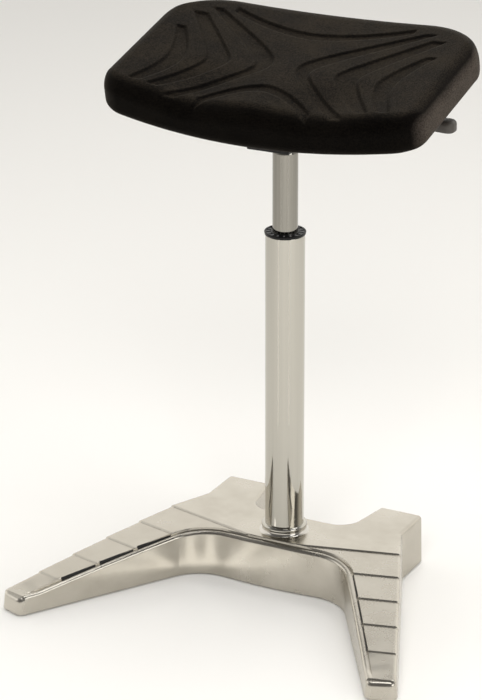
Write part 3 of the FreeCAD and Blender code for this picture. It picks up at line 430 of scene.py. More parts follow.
def corner_arcs(corners, inward):
    """The round of each (x, y, radius) corner of an outline, moved inwards, as lists of points."""
    count = len(corners)
    arcs = []
    for index, (x, y, radius) in enumerate(corners):
        here = Vector((x, y))
        before = Vector(corners[index - 1][:2])
        after = Vector(corners[(index + 1) % count][:2])
        arrive = (here - before).normalized()
        leave = (after - here).normalized()
        side = 1 if arrive.cross(leave) > 0 else -1
        sweep = arrive.angle(leave)
        start = here - arrive * (radius * math.tan(sweep / 2))
        centre = start + Vector((-arrive.y, arrive.x)) * radius * side
        first = (start - centre).normalized()
        steps = max(ARC_LEAST_STEPS, int(sweep / math.radians(ARC_DEGREES)))
        arc = []
        for step in range(steps + 1):
            arm = first.copy()
            arm.rotate(Matrix.Rotation(sweep * step / steps * side, 2))
            arc.append(centre + arm * max(radius - inward * side, ARC_LEAST_RADIUS))
        arcs.append(arc)
    return arcs


def rounded_outline(corners, inward):
    """An outline moved inwards; every such ring of an outline has the same number of points."""
    arcs = corner_arcs(corners, inward)
    outer = corner_arcs(corners, 0.0)
    count = len(arcs)
    points = []
    for index, arc in enumerate(arcs):
        following = (index + 1) % count
        steps = max(1, int((outer[following][0] - outer[index][-1]).length / OUTLINE_GAP))
        points += arc
        points += [arc[-1].lerp(arcs[following][0], step / steps) for step in range(1, steps)]
    return points


def node_box(name):
    """A node's box in millimetres."""
    low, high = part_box(name)
    return low / MM, high / MM


# Column

TUBE_BORE = 23.0
TUBE_TAPER = 1.4
TAPER_START = 70.0
TUBE_RIM = 0.8
TUBE_END = 6.0
TUBE_STEPS = 160
COLUMN_STEPS = 128
# A ring this close to a round or cone keeps the shading of the long wall beside it even
GUARD = 1.0


def make_tube():
    """The outer tube, drawn in where it goes down into the casting."""
    low, high = node_box("stand_tube")
    radius = high.x
    profile = [(radius - TUBE_TAPER, low.z), (radius, TAPER_START), (radius, TAPER_START + GUARD)]
    profile += [(radius, high.z - TUBE_RIM - GUARD)]
    profile += arc_points((radius - TUBE_RIM, high.z - TUBE_RIM), TUBE_RIM, 0, 90, 4)
    profile += [(TUBE_BORE, high.z), (TUBE_BORE, TAPER_START)]
    profile += [(TUBE_BORE - TUBE_TAPER, low.z + TUBE_END), (TUBE_BORE - TUBE_TAPER, low.z)]
    make_piece("tube_chromed", lathe(profile, TUBE_STEPS), "stand", MATERIALS["chrome"],
               ["stand_tube"])


def make_collar():
    """The bead ring that covers the joint of tube and casting."""
    low, high = node_box("column_collar")
    bore = node_box("stand_tube")[1].x
    middle = (low.z + high.z) / 2
    half = (high.z - low.z) / 2
    profile = [(bore, low.z)]
    profile += arc_points((high.x - half, middle), half, -90, 90, 14)
    profile += [(bore, high.z)]
    make_piece("collar_bead", lathe(profile, TUBE_STEPS), "stand", MATERIALS["chrome"],
               ["column_collar"], WIDE_CREASE)


CYLINDER_WALL = 4.0
CYLINDER_CHAMFER = 1.0
SHOULDER_HIGH = 4.0
SHOULDER_STEP = 2.0
CONE_TAPER = 0.8
CONE_BORE = 5.0


def make_cylinder():
    """The inner chromed tube, with its shoulder under the taper."""
    low, high = node_box("pressure_cylinder")
    radius = high.x
    shoulder = node_box("taper_socket")[0].z
    cone = radius - SHOULDER_STEP
    profile = [(radius - CYLINDER_WALL, low.z), (radius - CYLINDER_CHAMFER, low.z)]
    profile += [(radius, low.z + CYLINDER_CHAMFER)]
    profile += [(radius, shoulder - SHOULDER_HIGH - GUARD), (radius, shoulder - SHOULDER_HIGH)]
    profile += [(cone, shoulder), (cone - CONE_TAPER, high.z), (radius - CONE_BORE, high.z)]
    make_piece("cylinder_chromed", lathe(profile, COLUMN_STEPS), "seat", MATERIALS["rod"],
               ["pressure_cylinder"])


BUSH_FIT = 0.05
BUSH_EDGE = 0.9
BUSH_RELIEF = 0.5
BUSH_LIP = 2.2
POCKET_MOUTH = 6.0
POCKET_FLOOR = (0.6, 5.6)
POCKET_DEPTH = 1.4
RIB_COUNT = 16
RIB_SIZE = (5.4, 2.0, 1.2)
RIB_OUT = 3.1
RIB_SUNK = 0.9
RIB_BEVEL = 0.25


def make_bush():
    """The black guide bush, with its ring of pockets in the flange; grey ribs in the pockets paint the
    highlights on their rims.
    """
    low, high = node_box("guide_bush")
    flange = high.x
    tube_top = node_box("stand_tube")[1].z
    bore = node_box("pressure_cylinder")[1].x + BUSH_FIT
    lip = bore + BUSH_LIP
    pocket = high.z - POCKET_DEPTH
    profile = [(bore, low.z), (TUBE_BORE, low.z), (TUBE_BORE, tube_top)]
    profile += [(flange - BUSH_RELIEF, tube_top)]
    profile += arc_points((flange - BUSH_EDGE, high.z - BUSH_EDGE), BUSH_EDGE, -20, 90, 5)
    profile += [(lip + POCKET_MOUTH, high.z), (lip + POCKET_FLOOR[1], pocket)]
    profile += [(lip + POCKET_FLOOR[0], pocket), (lip, high.z), (bore, high.z)]
    make_piece("bush_black", lathe(profile, COLUMN_STEPS), "stand", MATERIALS["bush"],
               ["guide_bush"])
    # The ribs' grey colour is a painted highlight on the pocket rims
    ribs = bmesh.new()
    shape = Matrix.Diagonal([length * MM for length in RIB_SIZE] + [1])
    place = Vector((lip + RIB_OUT, 0, high.z - RIB_SUNK)) * MM
    for index in range(RIB_COUNT):
        turn = Matrix.Rotation(math.tau * index / RIB_COUNT, 4, "Z")
        bmesh.ops.create_cube(ribs, size=1, matrix=turn @ Matrix.Translation(place) @ shape)
    bmesh.ops.bevel(ribs, geom=ribs.edges[:], offset=RIB_BEVEL * MM, segments=2, affect="EDGES")
    make_piece("bush_ribs", ribs, "stand", MATERIALS["pocket"])


GLIDE_ROUND = 1.2
GLIDE_HIGH = 3.0
GLIDE_PEG = 3.5
GLIDE_STEPS = 64


def make_glides():
    """Rubber glides with a rounded lower edge and a peg up into the casting."""
    for name in ("glide_front_right", "glide_front_left", "glide_rear_right", "glide_rear_left"):
        low, high = node_box(name)
        centre = ((low.x + high.x) / 2, (low.y + high.y) / 2)
        radius = (high.x - low.x) / 2
        flat = radius - GLIDE_ROUND
        profile = [(0, 0), (flat, 0)]
        profile += arc_points((flat, GLIDE_ROUND), GLIDE_ROUND, -90, 0, 4)
        profile += [(radius, GLIDE_HIGH), (GLIDE_PEG, GLIDE_HIGH), (GLIDE_PEG, high.z), (0, high.z)]
        made = lathe(profile, GLIDE_STEPS, centre)
        make_piece(f"{name}_pad", made, "stand", MATERIALS["glide"], [name])


# Foot

DECK = 67.0
CASTING_LOW = 3.0
TOP_INSET = 1.3
TREAD_ANGLE = 14.5
TREAD_START = 42.0
TREAD_PITCH = 52.8
TREADS = 5
FIRST_FALL = 6.6
FALL_GROWTH = 0.75
TREAD_FALLS = [FIRST_FALL + FALL_GROWTH * tread for tread in range(TREADS)]
TIP_SLOPE = 0.18
STEP = 1.9
STEP_RUN = 1.3
RIM_RADIUS = 5.0

# The front edge: how far past the middle it is followed, how far it lies at most from the line
# between root and tip, and how far short of the tip it ends
PAST_MIDDLE = 60.0
FRONT_WITHIN = 26.0
SHORT_OF_TIP = 8.0

# The front rim, as distances inside the edge: a bead, a ledge that dips, and a wall up to the treads
BEAD_RADIUS = 4.0
LEDGE_RUN = 3.6
LEDGE_END = 7.6
WALL_FOOT = 8.4
WALL_TOP = 9.0
WALL_RUN = 0.6
BAND = 9.7
LEDGE_DROP = 3.0
LEDGE_DIP = 0.7
WALL_RISE = LEDGE_DROP + 0.1
WALL_ROUND = 0.6
BEAD_END = 22.0
BEAD_FADE = 20.0

# Corners of the casting's upper edge as (x, y, radius), from the right root to the rear recess
FOOT_CORNERS = [
    (103.0, -41.0, 60.0),
    (241.0, -263.5, 10.0),
    (277.6, -250.0, 10.0),
    (143.0, 56.0, 7.0),
    (143.0, 121.0, 7.0),
    (81.0, 121.0, 7.0),
    (68.0, 45.0, 28.0),
]
FRONT_CORNER = (0.0, -48.0, 500.0)


def foot_corners():
    left = [(-x, y, radius) for x, y, radius in reversed(FOOT_CORNERS)]
    return FOOT_CORNERS + left + [FRONT_CORNER]


def foot_ring(inward):
    """The foot's outline moved inwards."""
    return rounded_outline(foot_corners(), inward)


def along_treads(x, y):
    """Distance square to the tread lines, the same on both arms."""
    angle = math.radians(TREAD_ANGLE)
    return math.sin(angle) * abs(x) - math.cos(angle) * y


def tread_height(distance, stepped=True):
    """Height of the treads at a distance square to their lines."""
    place = TREAD_START
    height = DECK
    if distance <= place:
        return height
    for fall in TREAD_FALLS:
        here = distance - place
        if here < TREAD_PITCH:
            slope = height - fall * here / TREAD_PITCH
            if not stepped:
                return slope
            if here < STEP_RUN:
                return height - STEP * here / STEP_RUN
            share = (here - STEP_RUN) / (TREAD_PITCH - STEP_RUN)
            return height - STEP - (fall - STEP) * share
        place += TREAD_PITCH
        height -= fall
    here = distance - place
    slope = height - TIP_SLOPE * here
    if not stepped:
        return slope
    return slope - STEP * min(here / STEP_RUN, 1.0)


def segment_distance(point, first, second):
    line = second - first
    share = max(0.0, min(1.0, (point - first).dot(line) / line.length_squared))
    return (point - first - line * share).length


def make_edge_distance():
    """A function that gives the distance of (|x|, y) from the foot's edge and from its front edge."""
    ring = foot_ring(TOP_INSET)
    front = [point for point in ring if point.x > -PAST_MIDDLE and front_side(point)]
    front.sort(key=lambda point: point.x)
    lines = list(zip(front, front[1:]))
    whole = [side for side in sides(ring) if max(side[0].x, side[1].x) > -PAST_MIDDLE]

    def distances(x, y):
        point = Vector((abs(x), y))
        edge = min(segment_distance(point, a, b) for a, b in whole)
        near = min(segment_distance(point, a, b) for a, b in lines)
        return edge, near

    return distances


def front_side(point):
    """Whether an outline point lies on the front edge, between the two arms."""
    root = Vector(FOOT_CORNERS[0][:2])
    tip = Vector(FOOT_CORNERS[1][:2])
    if point.x < root.x:
        return point.y < 0
    along = (tip - root).normalized()
    across = abs(along.cross(point - root))
    reach = (tip - root).length - SHORT_OF_TIP
    return across < FRONT_WITHIN and (point - root).dot(along) < reach


def bead_profile(inside):
    """Height of the front rim below the treads at a distance inside the edge."""
    if inside < BEAD_RADIUS:
        rise = math.sqrt(max(BEAD_RADIUS ** 2 - (BEAD_RADIUS - inside) ** 2, 0.0))
        return -LEDGE_DROP - BEAD_RADIUS + rise
    if inside < LEDGE_END:
        share = (inside - BEAD_RADIUS) / LEDGE_RUN
        return -LEDGE_DROP - LEDGE_DIP * share * share
    if inside < WALL_FOOT:
        return -LEDGE_DROP - LEDGE_DIP
    if inside < WALL_TOP:
        return -LEDGE_DROP - LEDGE_DIP + WALL_RISE * (inside - WALL_FOOT) / WALL_RUN
    return -WALL_ROUND * (1 - min((inside - WALL_TOP) / WALL_ROUND, 1.0)) ** 2


def rim_profile(inside):
    """Height of the plain rounded rim below the treads at a distance inside the edge."""
    if inside >= RIM_RADIUS:
        return 0.0
    return math.sqrt(RIM_RADIUS ** 2 - (RIM_RADIUS - inside) ** 2) - RIM_RADIUS


def ease(value):
    """A smooth step from 0 to 1."""
    value = max(0.0, min(1.0, value))
    return value * value * (3 - 2 * value)


def foot_height(x, y, edge, near):
    """Height of the foot's top at a place, from its distances to the edges."""
    along = along_treads(x, y)
    last = TREAD_START + TREADS * TREAD_PITCH
    bead_share = 1 - ease((along - (last - BEAD_END)) / BEAD_FADE)
    plain = tread_height(along) + rim_profile(edge)
    if near > BAND or bead_share <= 0:
        return plain
    smooth = tread_height(along, near > WALL_TOP)
    bead = smooth + bead_profile(near)
    return plain * (1 - bead_share) + bead * bead_share


CREASE_REACH = 330.0
CREASE_STEPS = 48


def crease_lines():
    """Segments across the foot at each tread line, both edges of each riser."""
    angle = math.radians(TREAD_ANGLE)
    along = Vector((math.cos(angle), math.sin(angle)))
    down = Vector((math.sin(angle), -math.cos(angle)))
    segments = []
    for tread in range(TREADS + 1):
        for run in (0.0, STEP_RUN):
            base = down * (TREAD_START + tread * TREAD_PITCH + run)
            middle = base - along * (base.x / along.x)
            far = middle + along * CREASE_REACH
            segments.append((middle, far))
            segments.append((Vector((-middle.x, middle.y)), Vector((-far.x, far.y))))
    return segments


INSIDE_ONLY = 1
PLAN_MERGE = 0.002

# How far inside the upper edge the rings of the foot's mesh lie
INSETS = [0.0, 0.12, 0.45, 1.0, 1.75, 2.7, 3.8, 5.0, 6.3, 7.6, 8.4, 9.0, 9.3, 9.7, 10.1, 10.9]


def make_foot():
    """The cast foot: a fine triangulation of its plan, lifted to the height of the treads."""
    rim = foot_ring(TOP_INSET)
    points = []
    edges = []
    for inward in INSETS:
        ring = foot_ring(TOP_INSET + inward)
        first = len(points)
        points += ring
        edges += [(first + k, first + (k + 1) % len(ring)) for k in range(len(ring))]
    for start, end in crease_lines():
        first = len(points)
        points += [start.lerp(end, step / CREASE_STEPS) for step in range(CREASE_STEPS + 1)]
        edges += [(first + k, first + k + 1) for k in range(CREASE_STEPS)]
    boundary = list(range(len(rim)))
    plan = delaunay_2d_cdt(points, edges, [boundary], INSIDE_ONLY, PLAN_MERGE)
    verts = plan[0]
    faces = plan[2]
    distances = make_edge_distance()
    made = bmesh.new()
    lifted = []
    for place in verts:
        edge, near = distances(place.x, place.y)
        height = foot_height(place.x, place.y, edge, near)
        lifted.append(made.verts.new((place.x * MM, place.y * MM, height * MM)))
    for face in faces:
        middle = sum((verts[k] for k in face), Vector((0, 0))) / len(face)
        if inside_ring(middle, rim):
            made.faces.new([lifted[k] for k in face])
    loose = [vert for vert in made.verts if not vert.link_faces]
    bmesh.ops.delete(made, geom=loose, context="VERTS")
    add_walls(made, rim)
    bmesh.ops.recalc_face_normals(made, faces=made.faces)
    add_underside(made)
    foot = make_piece("foot_casting", made, "stand", MATERIALS["casting"],
                      ["base_casting"], FOOT_CREASE)
    flat = foot.modifiers.new("flat_treads", "WEIGHTED_NORMAL")
    flat.keep_sharp = True


BOSS_BORE = 24.0
BOSS_NECK = 27.2
BOSS_REACH = 36.0
BOSS_TOP = 5.0
BOSS_SUNK = 6.0
BOSS_SKIRT = 0.3
FILLET_WIDE = 5.0
FILLET_HIGH = 4.6
FILLET_TURN = 15


def make_boss():
    """The low boss round the tube, hollowed up from the deck to the collar."""
    top = DECK + BOSS_TOP
    profile = [(BOSS_BORE, DECK - BOSS_SUNK), (BOSS_REACH, DECK - BOSS_SKIRT)]
    for turn in range(0, 91, FILLET_TURN):
        angle = math.radians(turn)
        profile.append((BOSS_NECK + FILLET_WIDE * (1 - math.sin(angle)),
                        DECK + FILLET_HIGH - FILLET_HIGH * math.cos(angle)))
    profile += [(BOSS_NECK, top), (BOSS_BORE, top)]
    made = lathe(profile, COLUMN_STEPS)
    make_piece("foot_boss", made, "stand", MATERIALS["polish"])


def inside_ring(point, ring):
    """Even-odd test of a point against a closed ring."""
    within = False
    for first, second in sides(ring):
        if (first.y > point.y) != (second.y > point.y):
            cross = first.x + (point.y - first.y) * (second.x - first.x) / (second.y - first.y)
            if point.x < cross:
                within = not within
    return within


def add_walls(made, rim):
    """Drops walls from the open edge to the lower outline, which stands a little wider."""
    low_ring = foot_ring(0.0)
    count = len(rim)
    rim_edges = [edge for edge in made.edges if edge.is_boundary]
    grown = bmesh.ops.extrude_edge_only(made, edges=rim_edges)
    for vert in [item for item in grown["geom"] if isinstance(item, bmesh.types.BMVert)]:
        point = Vector((vert.co.x, vert.co.y)) / MM
        index = min(range(count), key=lambda k: segment_distance(point, rim[k], rim[(k + 1) % count]))
        line = rim[(index + 1) % count] - rim[index]
        share = (point - rim[index]).dot(line) / line.length_squared
        lower = low_ring[index].lerp(low_ring[(index + 1) % count], share)
        vert.co = Vector((lower.x, lower.y, CASTING_LOW)) * MM


LEAST_SKIN = 6.0
WALL_INSIDE = 2.8
FACING_DOWN = -0.9
FACING_UP = 0.3


def add_underside(made):
    """Takes the hollow underneath, with its hub, ribs and bosses, from the CAD solid."""
    node = NODES["base_casting"]
    outline = sides(foot_ring(0.0))
    solid = node.data
    corners = [node.matrix_world @ vert.co / MM for vert in solid.vertices]
    copies = {}
    for face in solid.polygons:
        places = [corners[index] for index in face.vertices]
        middle = sum(places, Vector()) / len(places)
        normal = (places[1] - places[0]).cross(places[2] - places[0]).normalized()
        below = middle.z < tread_height(along_treads(middle.x, middle.y)) - LEAST_SKIN
        flat = normal.z < FACING_DOWN
        plan = middle.to_2d()
        inner = flat or min(segment_distance(plan, a, b) for a, b in outline) > WALL_INSIDE
        if not (below and inner) or normal.z > FACING_UP:
            continue
        verts = []
        for index in face.vertices:
            key = tuple(round(part, 3) for part in corners[index])
            if key not in copies:
                copies[key] = made.verts.new(corners[index] * MM)
            verts.append(copies[key])
        if len(set(verts)) == len(verts) and made.faces.get(verts) is None:
            made.faces.new(verts)


GROOVE_INSIDE = 7.7
GROOVE_OUTSIDE = 9.3
GROOVE_GAP = 3.0
GROOVE_SUNK = 0.4
GROOVE_PROUD = 0.12
GROOVE_MERGE = 0.02
GROOVED_TREADS = range(1, 4)
LEVEL_SIDE = 1e-6


def make_grooves():
    """A dark strip between each tread and the front ledge, broken at the tread lines: painted shade of
    the narrow gap there.
    """
    inner = foot_ring(TOP_INSET + GROOVE_INSIDE)
    outer = foot_ring(TOP_INSET + GROOVE_OUTSIDE)
    made = bmesh.new()
    count = len(inner)
    for index in range(count):
        following = (index + 1) % count
        pairs = [(inner[index], outer[index]), (inner[following], outer[following])]
        middle = (pairs[0][0] + pairs[1][0]) / 2
        if not front_side(Vector((abs(middle.x), middle.y))):
            continue
        for start, end in groove_parts(pairs):
            corners = []
            for share in (start, end):
                low = pairs[0][0].lerp(pairs[1][0], share)
                high = pairs[0][1].lerp(pairs[1][1], share)
                ledge = tread_height(along_treads(low.x, low.y), False) - LEDGE_DROP - GROOVE_SUNK
                tread = tread_height(along_treads(high.x, high.y)) + GROOVE_PROUD
                corners += [(*low, ledge), (*high, tread)]
            verts = [made.verts.new(Vector(corners[k]) * MM) for k in (0, 2, 3, 1)]
            made.faces.new(verts)
    bmesh.ops.remove_doubles(made, verts=made.verts, dist=GROOVE_MERGE * MM)
    bmesh.ops.recalc_face_normals(made, faces=made.faces)
    make_piece("tread_grooves", made, "stand", MATERIALS["groove"])


def groove_parts(pairs):
    """The stretches of a piece of the outline, as shares, that lie along a grooved tread."""
    start = along_treads(*pairs[0][0])
    end = along_treads(*pairs[1][0])
    parts = []
    for tread in GROOVED_TREADS:
        low = TREAD_START + tread * TREAD_PITCH + GROOVE_GAP
        high = low + TREAD_PITCH - 2 * GROOVE_GAP
        if abs(end - start) < LEVEL_SIDE:
            continue
        shares = sorted(((low - start) / (end - start), (high - start) / (end - start)))
        first = max(0.0, shares[0])
        last = min(1.0, shares[1])
        if last > first:
            parts.append((first, last))
    return parts


# Lever's paddle

PADDLE_NECK = 0.6
PADDLE_ROUND = 9.0
PADDLE_TOP_ROUND = 5.5
PADDLE_LOW_ROUND = 2.5
PADDLE_ROUND_STEPS = 6


def edge_round(height, radius, up):
    """The levels of a rounded edge, from the wall to the face at a height, as (height, inward)."""
    levels = []
    for step in range(PADDLE_ROUND_STEPS + 1):
        angle = math.pi / 2 * step / PADDLE_ROUND_STEPS
        fall = radius * (1 - math.sin(angle))
        levels.append((height - fall if up else height + fall, radius * (1 - math.cos(angle))))
    return levels


def make_paddle():
    """The moulded paddle: wider at its outer end, with a well rounded upper edge."""
    low, high = node_box("lever_paddle")
    turn = Matrix.Rotation(math.radians(SEAT_TURN), 4, "Z")
    level = turn.inverted()
    middle = level @ ((low + high) / 2)
    half = (high - low) / 2
    spin = math.sin(math.radians(SEAT_TURN))
    long = half.x - half.y * spin
    wide = half.y - half.x * spin
    neck = wide * PADDLE_NECK
    corners = [
        (middle.x - long, middle.y - neck, PADDLE_ROUND / 2),
        (middle.x + long, middle.y - wide, PADDLE_ROUND),
        (middle.x + long, middle.y + wide, PADDLE_ROUND),
        (middle.x - long, middle.y + neck, PADDLE_ROUND / 2),
    ]
    levels = edge_round(low.z, PADDLE_LOW_ROUND, False)[::-1]
    levels += edge_round(high.z, PADDLE_TOP_ROUND, True)
    made = bmesh.new()
    rings = []
    for height, inward in levels:
        outline = rounded_outline(corners, inward)
        rings.append([made.verts.new((point.x * MM, point.y * MM, height * MM))
                      for point in outline])
    join_rings(made, rings)
    bmesh.ops.transform(made, matrix=turn, verts=made.verts)
    make_piece("paddle_moulded", made, "lever", MATERIALS["paddle"], ["lever_paddle"],
               WIDE_CREASE)


# Cushion

SEAT_TILT = 11.8
PLATE_LEVEL = 632.0


def seat_matrix():
    """The cushion's frame: origin under the seat plate on the axis, Y up the slope."""
    turn = Matrix.Rotation(math.radians(SEAT_TURN), 4, "Z")
    lift = Matrix.Translation((0, 0, PLATE_LEVEL * MM))
    return turn @ lift @ Matrix.Rotation(math.radians(SEAT_TILT), 4, "X")


HALF_WIDTH = 214.5
SEAT_FRONT = 109.8
SEAT_BACK = 176.5
SEAT_THICK = 55.0
SEAT_BOW = 23.0
SEAT_RISE = 7.0
UNDER_RISE = 15.0
CORNER_FRONT = 34.0
CORNER_BACK = 86.0
LIP_RADIUS = 25.0
REAR_RADIUS = 36.0
UNDER_RADIUS = 12.0
SIDE_RADIUS = 22.0
THIGH_DIP = 7.0
THIGH_DIP_X = 84.0
THIGH_DIP_SPREAD = 48.0
THIGH_DIP_FADE = 90.0
CHANNEL_DEPTH = 2.5
CHANNEL_WALL = 2.0
UNDER_FLATTEN = 0.7


def rounding(distance, radius):
    """How far a round of a radius falls away at a distance from its outer end."""
    inside = max(radius - distance, 0.0)
    return radius - math.sqrt(max(radius * radius - inside * inside, 0.0))


def soft_min(first, second, width):
    """The smaller value, with the corner between them rounded."""
    half = (first - second) / 2
    return (first + second) / 2 - math.sqrt(half * half + width * width)


def wedge(x, y, corner, rear_slope, front_slope, width):
    """Distance inside a sideways V whose corner is rounded; slopes are dy/dx of its two lines."""
    rear = (x - corner[0]) * rear_slope - (y - corner[1])
    rear /= math.hypot(1, rear_slope)
    front = (y - corner[1]) - (x - corner[0]) * front_slope
    front /= math.hypot(1, front_slope)
    return soft_min(rear, front, width)


# Side channels: inner V, outer V as (corner, rear slope, front slope, rounding), and their ends in Y
SIDE_CHANNELS = [
    (((-17.5, -0.7), 0.74, -0.845, 22.0), ((18.5, -9.9), 0.92, -0.91, 12.6), (-98.0, 112.0)),
    (((61.3, -11.2), 1.17, -1.10, 8.6), ((92.5, -12.8), 1.39, -1.43, 8.4), (-87.0, 95.0)),
    (((103.3, -22.0), 1.40, -1.33, 22.0), ((127.1, -24.0), 1.89, -1.63, 22.0), (-84.0, 54.0)),
]


# Cross channels: place in Y, bend and its power, the reach that the bend is measured by, end in X,
# half width, how much that narrows, and the slant of the walls
CROSS_CHANNELS = [
    (76.5, 40.0, 1.7, 122.0, 121.0, 6.0, 1.6, 0.85),
    (-60.0, -42.0, 1.6, 76.0, 74.0, 5.5, 0.0, 0.8),
]
FAR_OUTSIDE = -99.0


def channel_field(x, y):
    """How far inside a channel a place of the seat is, in level seat coordinates."""
    side = abs(x)
    best = FAR_OUTSIDE
    for inner, outer, (front, rear) in SIDE_CHANNELS:
        field = min(wedge(side, y, *inner), -wedge(side, y, *outer), rear - y, y - front)
        best = max(best, field)
    for place, bend, power, reach, end, half, narrowing, slant in CROSS_CHANNELS:
        spread = side / reach
        middle = place + bend * spread ** power
        field = half - narrowing * spread - abs(y - middle) * slant
        best = max(best, min(field, end - side))
    return best


TOP_STEPS = 120
EDGE_STEPS = 14
WALL_STEPS = 8
UNDER_STEPS = 6
BASE_STEPS = 20


def cushion_ring(x):
    """Points round the cushion's section at x, in its own frame."""
    share = abs(x) / HALF_WIDTH
    edge = HALF_WIDTH - abs(x)
    front = -SEAT_FRONT + SEAT_BOW * share ** 2 + rounding(edge, CORNER_FRONT)
    back = SEAT_BACK - rounding(edge, CORNER_BACK)
    low = UNDER_RISE * share ** 2 + rounding(edge, UNDER_RADIUS) * UNDER_FLATTEN
    top = SEAT_THICK + SEAT_RISE * share ** 2 - rounding(edge, SIDE_RADIUS)
    fit = min(1.0, (top - low) / SEAT_THICK)
    lip = LIP_RADIUS * fit
    rear = REAR_RADIUS * fit
    under = UNDER_RADIUS * fit
    hollow = (abs(x) - THIGH_DIP_X) / THIGH_DIP_SPREAD
    dip = THIGH_DIP * math.exp(-hollow * hollow)
    lip_top = top - dip
    points = []

    def arc(centre, radius, start, count):
        for step in range(count + 1):
            angle = math.radians(start - 90 * step / count)
            points.append((centre[0] + radius * math.cos(angle),
                           centre[1] + radius * math.sin(angle)))

    def line(first, second, count):
        for step in range(1, count):
            part = step / count
            points.append((first[0] + (second[0] - first[0]) * part,
                           first[1] + (second[1] - first[1]) * part))

    arc((front + under, low + under), under, 270, UNDER_STEPS)
    line((front, low + under), (front, lip_top - lip), WALL_STEPS)
    arc((front + lip, lip_top - lip), lip, 180, EDGE_STEPS)
    first = front + lip
    last = back - rear
    for step in range(1, TOP_STEPS):
        y = first + (last - first) * step / TOP_STEPS
        fade = ease((y - first) / THIGH_DIP_FADE)
        points.append((y, top - dip * (1 - fade)))
    arc((back - rear, top - rear), rear, 90, EDGE_STEPS)
    line((back, top - rear), (back, low + under), WALL_STEPS)
    arc((back - under, low + under), under, 0, UNDER_STEPS)
    line((back - under, low), (front + under, low), BASE_STEPS)
    return points


STATION_GAP = 1.7
SIDE_PART = 26.0
SIDE_STATIONS = 22
SIDE_MARGIN = 0.02
CHANNELLED_ABOVE = 30.0


def cushion_stations():
    """Places of the sections across the cushion, closer together at its sides."""
    places = [0.0]
    x = 0.0
    while x < HALF_WIDTH - SIDE_PART:
        x += STATION_GAP
        places.append(x)
    for step in range(1, SIDE_STATIONS + 1):
        angle = math.pi / 2 * step / SIDE_STATIONS
        places.append(x + (HALF_WIDTH - SIDE_MARGIN - x) * math.sin(angle))
    return [-place for place in reversed(places[1:])] + places


def make_cushion():
    """The crowned foam seat, with its channels sunk into the top."""
    made = bmesh.new()
    tilt = math.radians(SEAT_TILT)
    rings = []
    for x in cushion_stations():
        ring = []
        for y, z in cushion_ring(x):
            if z > CHANNELLED_ABOVE:
                level = y * math.cos(tilt) - z * math.sin(tilt)
                field = channel_field(x, level)
                z -= CHANNEL_DEPTH * ease(field / CHANNEL_WALL + 0.5)
            ring.append(made.verts.new((x * MM, y * MM, z * MM)))
        rings.append(ring)
    join_rings(made, rings)
    bmesh.ops.transform(made, matrix=seat_matrix(), verts=made.verts)
    piece = make_piece("cushion_foam", made, "seat", MATERIALS["cushion"],
                       ["seat_cushion"], CUSHION_CREASE)


# Light and floor: places and sizes in metres, lamps in watts


def area_lamp(name, place, target, size, power):
    """A rectangular lamp that points at a target."""
    data = bpy.data.lights.new(name, "AREA")
    data.shape = "RECTANGLE"
    data.size = size[0]
    data.size_y = size[1]
    data.energy = power
    lamp = bpy.data.objects.new(name, data)
    lamp.location = place
    aim = Vector(target) - Vector(place)
    lamp.rotation_mode = "QUATERNION"
    lamp.rotation_quaternion = aim.to_track_quat("-Z", "Y")
    scene.collection.objects.link(lamp)
    return lamp


FLOOR_PALE = (0.85, 0.834, 0.80)
FLOOR_GLOW = 0.07
FLOOR_TINT = (1.0, 0.97, 0.92)
FLOOR_RADIUS = 30
FLOOR_STEPS = 64


def make_floor():
    """A pale floor, with a faint glow that only the camera and polished or clear surfaces see."""
    made = bmesh.new()
    bmesh.ops.create_circle(made, cap_ends=True, radius=FLOOR_RADIUS, segments=FLOOR_STEPS)
    mesh = bpy.data.meshes.new("floor")
    made.to_mesh(mesh)
    made.free()
    floor = bpy.data.objects.new("floor", mesh)
    scene.collection.objects.link(floor)
    paint = Shader("floor_paint", Base_Color=FLOOR_PALE, Roughness=0.85, Specular_IOR_Level=0.1)
    seen = paint.add("ShaderNodeLightPath", "Is Camera Ray")
    for ray in ("Is Glossy Ray", "Is Transmission Ray"):
        seen = paint.math("MAXIMUM", seen, paint.add("ShaderNodeLightPath", ray))
    paint.set(Emission_Color=FLOOR_TINT,
              Emission_Strength=paint.math("MULTIPLY", seen, FLOOR_GLOW))
    mesh.materials.append(paint.material)


STUDIO_STRENGTH = 1.32
STUDIO_BRIGHT = (0.98, 0.96, 0.92)
# Span, as the cosine of the angle to the view's heading, over which the dark turns to bright
STUDIO_TURN = (-0.2, 0.2)


def make_world():
    """A studio that is bright behind the stool, up to half the height, and dark in front and above."""
    world = bpy.data.worlds.new("studio")
    world.use_nodes = True
    made = Nodes(world.node_tree)
    direction = made.add("ShaderNodeTexCoord", "Generated")
    height = made.add("ShaderNodeSeparateXYZ", "Z", Vector=direction)
    yaw = math.radians(CAMERA_YAW)
    ahead = made.dot(direction, (math.sin(yaw), math.cos(yaw), 0.0))
    behind = made.range(ahead, 0.0, 1.0, *STUDIO_TURN)
    far = made.ramp(height, (0.0, (0.62, 0.60, 0.57)), (0.12, STUDIO_BRIGHT), (0.60, STUDIO_BRIGHT),
                    (0.78, (0.20, 0.20, 0.20)), (1.0, (0.16, 0.16, 0.16)))
    near = made.ramp(height, (0.0, (0.50, 0.49, 0.47)), (0.12, (0.16, 0.155, 0.15)),
                     (1.0, (0.10, 0.10, 0.10)))
    glow = made.add("ShaderNodeMixRGB", Fac=behind, Color1=near, Color2=far)
    back = world.node_tree.nodes["Background"]
    made.fill(back, {"Color": glow, "Strength": STUDIO_STRENGTH})
    scene.world = world


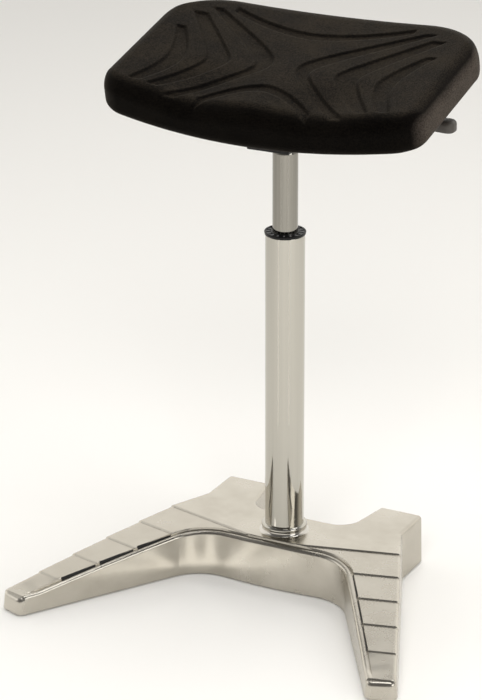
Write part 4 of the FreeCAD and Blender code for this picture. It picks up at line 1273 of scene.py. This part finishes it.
def make_lights():
    """Soft lamps; the front one stays out of reflections, and the left strip shows only in them."""
    area_lamp("top", (0.2, 0.6, 3.4), (0, 0, 0.2), (2.6, 2.6), 56)
    front = area_lamp("front", (1.5, -3.3, 3.1), (0, -0.3, 0.0), (2.6, 2.0), 115)
    front.visible_glossy = False
    area_lamp("side_right", (3.0, -0.9, 1.5), (0, 0, 0.4), (1.4, 1.8), 20)
    strip = area_lamp("strip_left", (-3.0, -1.5, 2.1), (0, 0, 0.1), (1.0, 1.4), 3)
    strip.visible_diffuse = False


CARD_LIFT = 0.002
CARD_WHITE = (1.0, 0.98, 0.94)

# Floor cards: apex, heading and angle of width in degrees, nearest and farthest reach, strength
CARDS = {
    "card_left": ((0.0, 0.0), -101.5, 7.0, (0.55, 4.0), 1.25),
    "card_right": ((0.0, 0.0), -39.5, 8.0, (0.55, 4.0), 1.25),
    "card_root_outer": ((-0.1287, -0.0375), -42.6, 11.0, (0.06, 0.175), 1.75),
    "card_root_inner": ((-0.0835, -0.0168), -92.0, 11.0, (0.06, 0.175), 1.75),
}


def make_card(name, apex, heading, width, reach, strength):
    """A white wedge on the floor that shows only in polished metal; width is its angle."""
    paper = bpy.data.materials.new(name)
    paper.use_nodes = True
    made = Nodes(paper.node_tree)
    glow = made.add("ShaderNodeEmission", Color=CARD_WHITE, Strength=strength)
    made.plug(paper.node_tree.nodes["Material Output"].inputs["Surface"], glow)
    mesh = bpy.data.meshes.new(name)
    near, far = reach
    corners = []
    for length, side in ((near, -1), (far, -1), (far, 1), (near, 1)):
        angle = math.radians(heading + side * width / 2)
        corners.append((apex[0] + length * math.cos(angle), apex[1] + length * math.sin(angle),
                        CARD_LIFT))
    mesh.from_pydata(corners, [], [(0, 1, 2, 3)])
    mesh.materials.append(paper)
    card = bpy.data.objects.new(name, mesh)
    scene.collection.objects.link(card)
    card.visible_camera = False
    card.visible_diffuse = False
    card.visible_shadow = False


def make_cards():
    """Two long cards that show as stripes in the column, and two short ones for the left arm's root."""
    for name, values in CARDS.items():
        make_card(name, *values)


scene.view_settings.view_transform = "Standard"
make_camera()
MATERIALS = make_materials()
dress_nodes()
make_tube()
make_collar()
make_cylinder()
make_bush()
make_glides()
make_foot()
make_boss()
make_grooves()
make_paddle()
make_cushion()
make_floor()
make_world()
make_lights()
make_cards()
